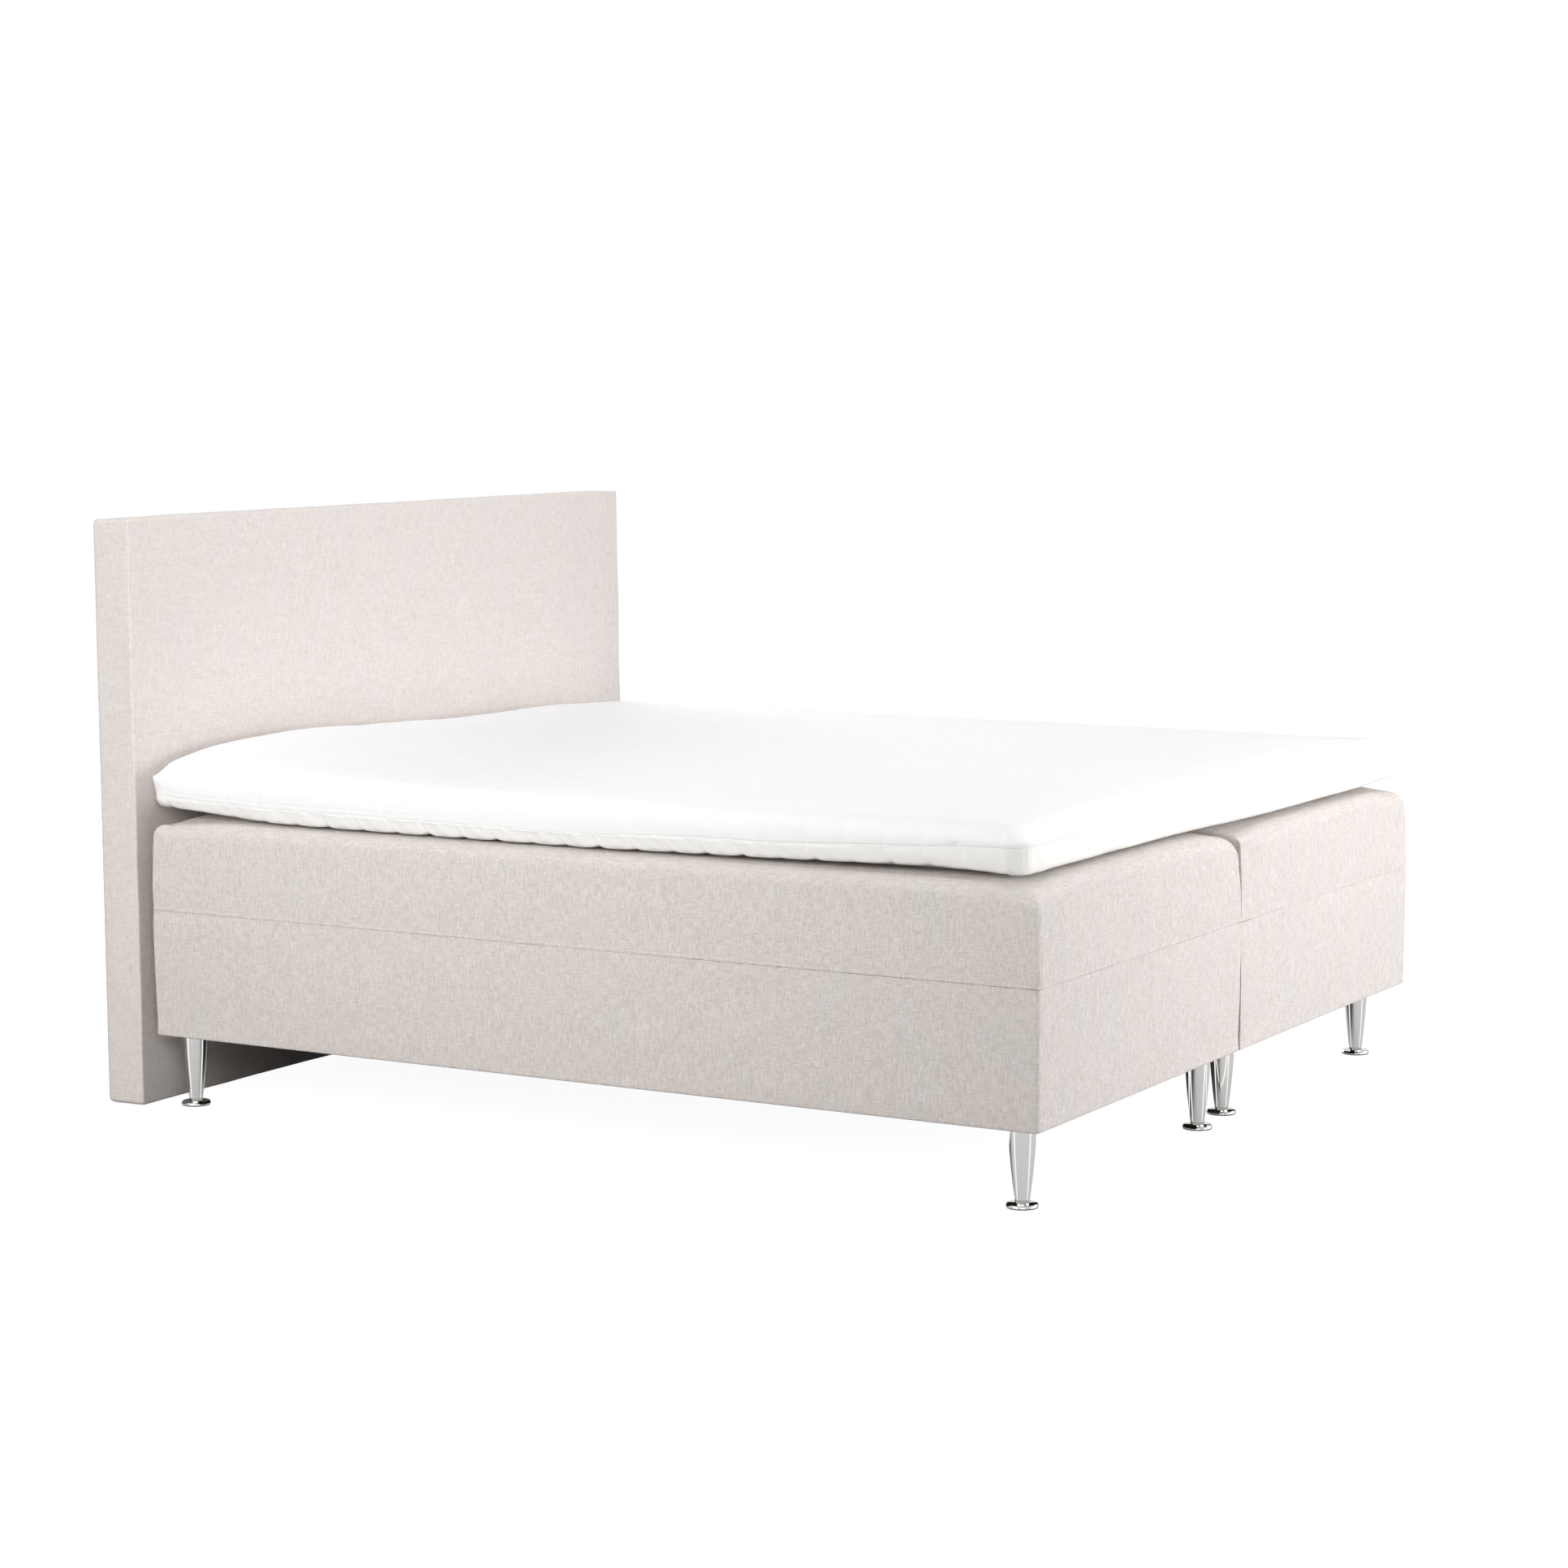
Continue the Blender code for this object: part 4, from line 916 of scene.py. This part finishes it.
def blown_out(points, held, frames=16, most=0.006):
    """How far rings of cloth move when air swells them between the points that are held."""
    scene = bpy.context.scene
    cloth = mesh_object("swelling_cloth", points, ring_faces(points))
    mesh = cloth.data
    cloth.vertex_groups.new(name="held").add(np.flatnonzero(held.ravel()).tolist(), 1.0, "REPLACE")
    modifier = cloth.modifiers.new("cloth", "CLOTH")
    for name, value in cloth_settings.items():
        setattr(modifier.settings, name, value)
    modifier.settings.effector_weights.gravity = 0
    modifier.collision_settings.use_collision = False
    modifier.point_cache.frame_end = frames
    for number in range(1, frames + 1):
        scene.frame_set(number)
    swollen = cloth.evaluated_get(bpy.context.evaluated_depsgraph_get())
    moved = np.empty(points.size)
    swollen.data.vertices.foreach_get("co", moved)
    bpy.data.objects.remove(cloth)
    bpy.data.meshes.remove(mesh)
    scene.frame_set(1)
    shift = moved.reshape(points.shape) - points
    size = np.linalg.norm(shift, axis=-1, keepdims=True)
    return shift * np.minimum(1, most / np.maximum(size, 1e-9))


def ring_run(rings, rows):
    """How far round the topper each point of the outermost ring is, from the foot end of its right side."""
    ring = rings[next(number for number, row in enumerate(rows) if row[0] == 0)]
    x, y = ring[:, 0], ring[:, 1] - pad_mid
    over_x, over_y = np.abs(x) - straight[0], np.abs(y) - straight[1]
    arc = pad_corner * quarter
    lengths = np.array([2 * straight[1], arc, 2 * straight[0], arc] * 2)
    starts = np.cumsum(lengths) - lengths
    run = np.zeros(len(ring))
    angle = np.arctan2(np.sign(y) * np.maximum(over_y, 0), np.sign(x) * np.maximum(over_x, 0)) % (4 * quarter)
    bend = (over_x > 1e-9) & (over_y > 1e-9)
    for side, along in enumerate((y, -x, -y, x)):
        over, sign_here, half_run = ((over_x, np.sign(y), straight[0]) if side % 2
                                     else (over_y, np.sign(x), straight[1]))
        facing = (over <= 1e-9) & (sign_here == 1 + side % 2 - side)
        run = np.where(facing, starts[2 * side] + half_run + along, run)
        turning = bend & (np.floor(angle / quarter) == side)
        run = np.where(turning, starts[2 * side + 1] + (angle - side * quarter) * pad_corner, run)
    return run


def tray_puffs(rows, fine):
    """Swelling at finer rings' points between the tucks, from a cloth simulation on a coarser copy."""
    along_y = np.linspace(-channel_ends, channel_ends, channels * 8 + 1)
    along_y = along_y[np.abs(along_y) < straight[1] - 0.002]
    along_y = np.concatenate([[-1], along_y / straight[1], [1]])
    skipped = 4
    chosen = rows[skipped:]
    points, _ = rings_of(chosen, ring_shares(np.linspace(-1, 1, 145), along_y, 6), pad_half, pad_centre)
    inset, height, _ = np.array(chosen).T
    away = sewn(points[..., 1] - pad_mid)[1]
    tucked = (np.abs(away) < 0.01) & (np.abs(points[..., 0]) > pad_x - 0.02)
    held = tucked | ((inset > 0.0115) | (height - pad_bottom > 0.0450))[:, None]
    swelling = blown_out(points, held)
    run = ring_run(points, chosen)
    order = np.argsort(run)
    full = 4 * (straight[0] + straight[1]) + 2 * math.pi * pad_corner
    places = np.concatenate([[run[order[-1]] - full], run[order], [run[order[0]] + full]])
    order = np.concatenate([[order[-1]], order, [order[0]]])
    at = ring_run(fine, rows)
    result = np.zeros(fine.shape)
    for number in range(len(chosen)):
        result[skipped + number] = smooth_between(at, places, swelling[number][order])
    return result


def build_topper_bottom():
    """Lower half: puffs between slanted tucks, over a rolled lower edge."""
    rows_y = stations(0, 0.015, 0.035, 0.07, 0.12, 0.2, 0.3, 0.4, 0.5)
    rows_y = rows_y[np.abs(rows_y) < straight[1] - 0.002]
    along_y = np.concatenate([[-1], rows_y / straight[1], [1]])
    along_x = graded(straight[0], 0.006, 0.014) / straight[0]
    rows = [(inset, pad_bottom + height, max(pad_corner - inset, 0.010)) for inset, height in tray_profile]
    points, normals = rings_of(rows, ring_shares(along_x, along_y, 26), pad_half, pad_centre)
    blown = tray_puffs(rows, points)
    x, from_middle, level = points[..., 0], points[..., 1] - pad_mid, points[..., 2]
    down = np.clip((line_z - level) / (line_z - pad_bottom), 0, 1)
    on_long_side = np.abs(x) > straight[0]
    visible = on_long_side & (np.abs(from_middle) < channel_ends + 0.01)
    number, away = sewn(from_middle)
    away = away * pitch
    tuck = np.exp(-np.abs(away) / np.where(away > 0, 0.010, 0.0028)) * tuck_depths[number]
    slack = np.interp(from_middle, tuck_lines, tuck_slack)
    puff = 0.0010 * np.sin(math.pi * np.clip(np.abs(away) / pitch, 0, 0.5)) ** 0.8
    relief = (puff - 0.0028 * tuck) * ease(down, 0.02, 0.30) * visible * slack
    soft = 0.0010 * lump(points, 0.05, 121) + 0.0006 * lump(points * (1, 1, 0.5), 0.018, 122)
    relief += soft * plateau(down, 0.02, 0.2, 0.9, 0.99)
    gathers = ease(-points[..., 1], 0.965, 0.985) * plateau(down, 0.03, 0.12, 0.35, 0.85) * (x < 0)
    relief -= 0.0012 * gathers * (1 + np.cos(points[..., 1] * 2 * math.pi / 0.0058)) / 2
    lifted = 0.0024 * tuck * plateau(down, 0.45, 0.95, 0.985, 1.0) * visible * slack
    slant = np.interp(from_middle, tuck_lines, tuck_slants) * down ** 1.3
    edge_fade = ease(channel_ends + 0.03 - np.abs(from_middle), 0, 0.05)
    points = points + normals * relief[..., None] + blown * (0.25 + 0.40 * slack)[..., None]
    points[..., 1] -= slant * edge_fade * on_long_side * (1 - ease(down, 0.97, 1.0) * 0.3)
    points[..., 2] += lifted + line_wander(points[..., 1], points[..., 0]) * (1 - ease(down, 0, 0.5))
    points[..., 2] += raised(points)
    points[..., 2] += 0.0002 * ease(-from_middle, channel_ends, pad_y - 0.005) * (down < 0.03)
    points += laid(points)
    faces = ring_faces(points, cap_first=True)
    # The lower half takes the darker, warmer knit: painted shade.
    tray = new_object("topper_cover_bottom", points, faces, lower_knit_painted_shade, "topper")
    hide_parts("topper_bottom_cover")


build_topper_top()
build_topper_bottom()
core_points, core_faces = copied_mesh("topper_core")
core_points[:, 2] += raised(core_points)
core_piece = new_object("topper_foam_core", core_points, core_faces, foam, "topper", smooth=False)
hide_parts("topper_core")


# Floor, light and camera

def summed(tree, how, first, second=0.0):
    """Result of one sum on two numbers."""
    return shader_node(tree, "Math", {0: first, 1: second}, operation=how).outputs["Value"]


def stepped(tree, value, low, high, start, end, how="SMOOTHSTEP"):
    """A value's range from low to high mapped on another range."""
    inputs = {"Value": value, "From Min": low, "From Max": high, "To Min": start, "To Max": end}
    return shader_node(tree, "MapRange", inputs, interpolation_type=how).outputs["Result"]


def seen_white(tree, camera_share, glossy_share):
    """Strength of white for what the camera and polished metal see."""
    rays = shader_node(tree, "LightPath").outputs
    result = summed(tree, "MULTIPLY", rays["Is Camera Ray"], camera_share)
    for ray, share in (("Is Glossy Ray", glossy_share), ("Is Transmission Ray", camera_share)):
        result = summed(tree, "MAXIMUM", result, summed(tree, "MULTIPLY", rays[ray], share))
    return result


def floor_painted_shadow(tree, bright):
    """Brightness that polished metal sees of the floor: even in the open, with a painted shadow under the
    bed.
    """
    split = shader_node(tree, "SeparateXYZ", {"Vector": here(tree)})
    shares = []
    for axis, middle, outer, inner in (("X", 0.0, 0.90, 0.70), ("Y", -0.066, 1.0, 0.78)):
        size = summed(tree, "ABSOLUTE", summed(tree, "SUBTRACT", split.outputs[axis], middle))
        shares.append(stepped(tree, size, outer, inner, 0.0, 1.0))
    return stepped(tree, summed(tree, "MULTIPLY", *shares), 0.0, 1.0, bright, 0.02, "LINEAR")


def studio_surface(name, points, faces, strength, matt=None):
    """A surface of the studio that glows by a strength, over a matt colour where it has one."""
    material, tree, _ = new_material(name)
    tree.nodes.clear()
    surface = shader_node(tree, "Emission", {"Strength": strength(tree)}).outputs["Emission"]
    if matt:
        cover = shader_node(tree, "BsdfDiffuse", {"Color": (*matt, 1)}).outputs["BSDF"]
        surface = shader_node(tree, "AddShader", {0: cover, 1: surface}).outputs["Shader"]
    shader_node(tree, "OutputMaterial", {"Surface": surface})
    return mesh_object(name, points, faces, material)


def floor_glow(tree):
    """White for the camera, a little higher far from the bed, and what polished metal sees of the floor, with
    its painted shadow under the bed.
    """
    length = shader_node(tree, "VectorMath", {0: here(tree)}, operation="LENGTH").outputs["Value"]
    return seen_white(tree, stepped(tree, length, 1.6, 4.5, 0.95, 1.0), floor_painted_shadow(tree, 0.67))


floor_half = 30.0
floor_points = corners_of((-floor_half, -floor_half), (floor_half, floor_half), 0)
floor = studio_surface("studio_floor", floor_points, [(0, 1, 2, 3)], floor_glow, (0.28, 0.28, 0.28))

world = bpy.data.worlds.new("studio")
bpy.context.scene.world = world
world.use_nodes = True
world_light = 0.07
strength = summed(world.node_tree, "MAXIMUM", seen_white(world.node_tree, 1.0, 0.95), world_light)
background = world.node_tree.nodes["Background"]
feed(world.node_tree, background, {"Color": (1, 1, 1, 1), "Strength": strength})


def softbox(name, place, aim, size, power, tint=(1.0, 1.0, 1.0)):
    """Soft area light of a width and height at a place, aimed at a point."""
    lamp = bpy.data.lights.new(name, "AREA")
    lamp.shape = "RECTANGLE"
    lamp.size, lamp.size_y = size
    lamp.energy = power
    lamp.color = tint
    item = linked(name, lamp)
    item.location = place
    item.rotation_euler = (Vector(aim) - Vector(place)).to_track_quat("-Z", "Y").to_euler()


cool = (0.965, 0.975, 1.0)
softbox("front_right", (3.6, -4.6, 2.6), (0.4, 0, 0.5), (2.4, 2.0), 120, cool)
softbox("front_left", (-5.0, -3.4, 2.6), (-0.6, -0.2, 0.5), (3.0, 2.0), 61)
softbox("front_near", (0.5, -4.0, 1.0), (0.2, 0, 0.4), (2.6, 1.0), 87, (0.98, 0.985, 1.0))
softbox("side_near", (-3.6, 0.50, 1.55), (-0.7, 0.3, 0.4), (2.2, 1.5), 77)
softbox("overhead", (0, 0, 4.6), (0, 0, 0), (4.0, 4.0), 108, cool)
softbox("back_fill", (4.6, 4.6, 2.6), (0, 0.4, 0.5), (3.0, 2.0), 220)

# Glowing strips beside the legs, seen in their polish alone: painted highlights, laid out by the camera's
# direction
camera_place = Vector((-6.5692, -3.854, 1.4978))
strip_points = []
for name in ("left_foot_outer", "left_foot_inner", "right_foot_inner", "right_foot_outer", "left_head_outer"):
    low, high, middle = middle_of(name + "_leg")
    facing = math.atan2(camera_place.y - middle.y, camera_place.x - middle.x)
    for turn in (-71, 71):
        for reach, spread_by in ((0.034, -8), (0.95, -8), (0.95, 8), (0.034, 8)):
            angle = facing + math.radians(turn + spread_by)
            across, along = reach * math.cos(angle), reach * math.sin(angle)
            strip_points.append((middle.x + across, middle.y + along, 0.0005))
strip_faces = np.arange(len(strip_points)).reshape(-1, 4).tolist()
highlight_cards = studio_surface("glowing_highlight_cards", strip_points, strip_faces, lambda tree: seen_white(tree, 0.0, 1.6))
for ray in ("camera", "diffuse", "transmission", "shadow"):
    setattr(highlight_cards, "visible_" + ray, False)

camera_data = bpy.data.cameras.new("camera")
camera = linked("camera", camera_data)
bpy.context.scene.camera = camera
camera_data.sensor_width = 36.0
camera_data.lens = 83.41
camera_data.shift_x = 0.00096
camera_data.shift_y = -0.0863
camera.location = camera_place
camera.rotation_euler = (quarter - 0.0772, 0.0048, -1.0434)
bpy.context.scene.view_settings.view_transform = "Standard"
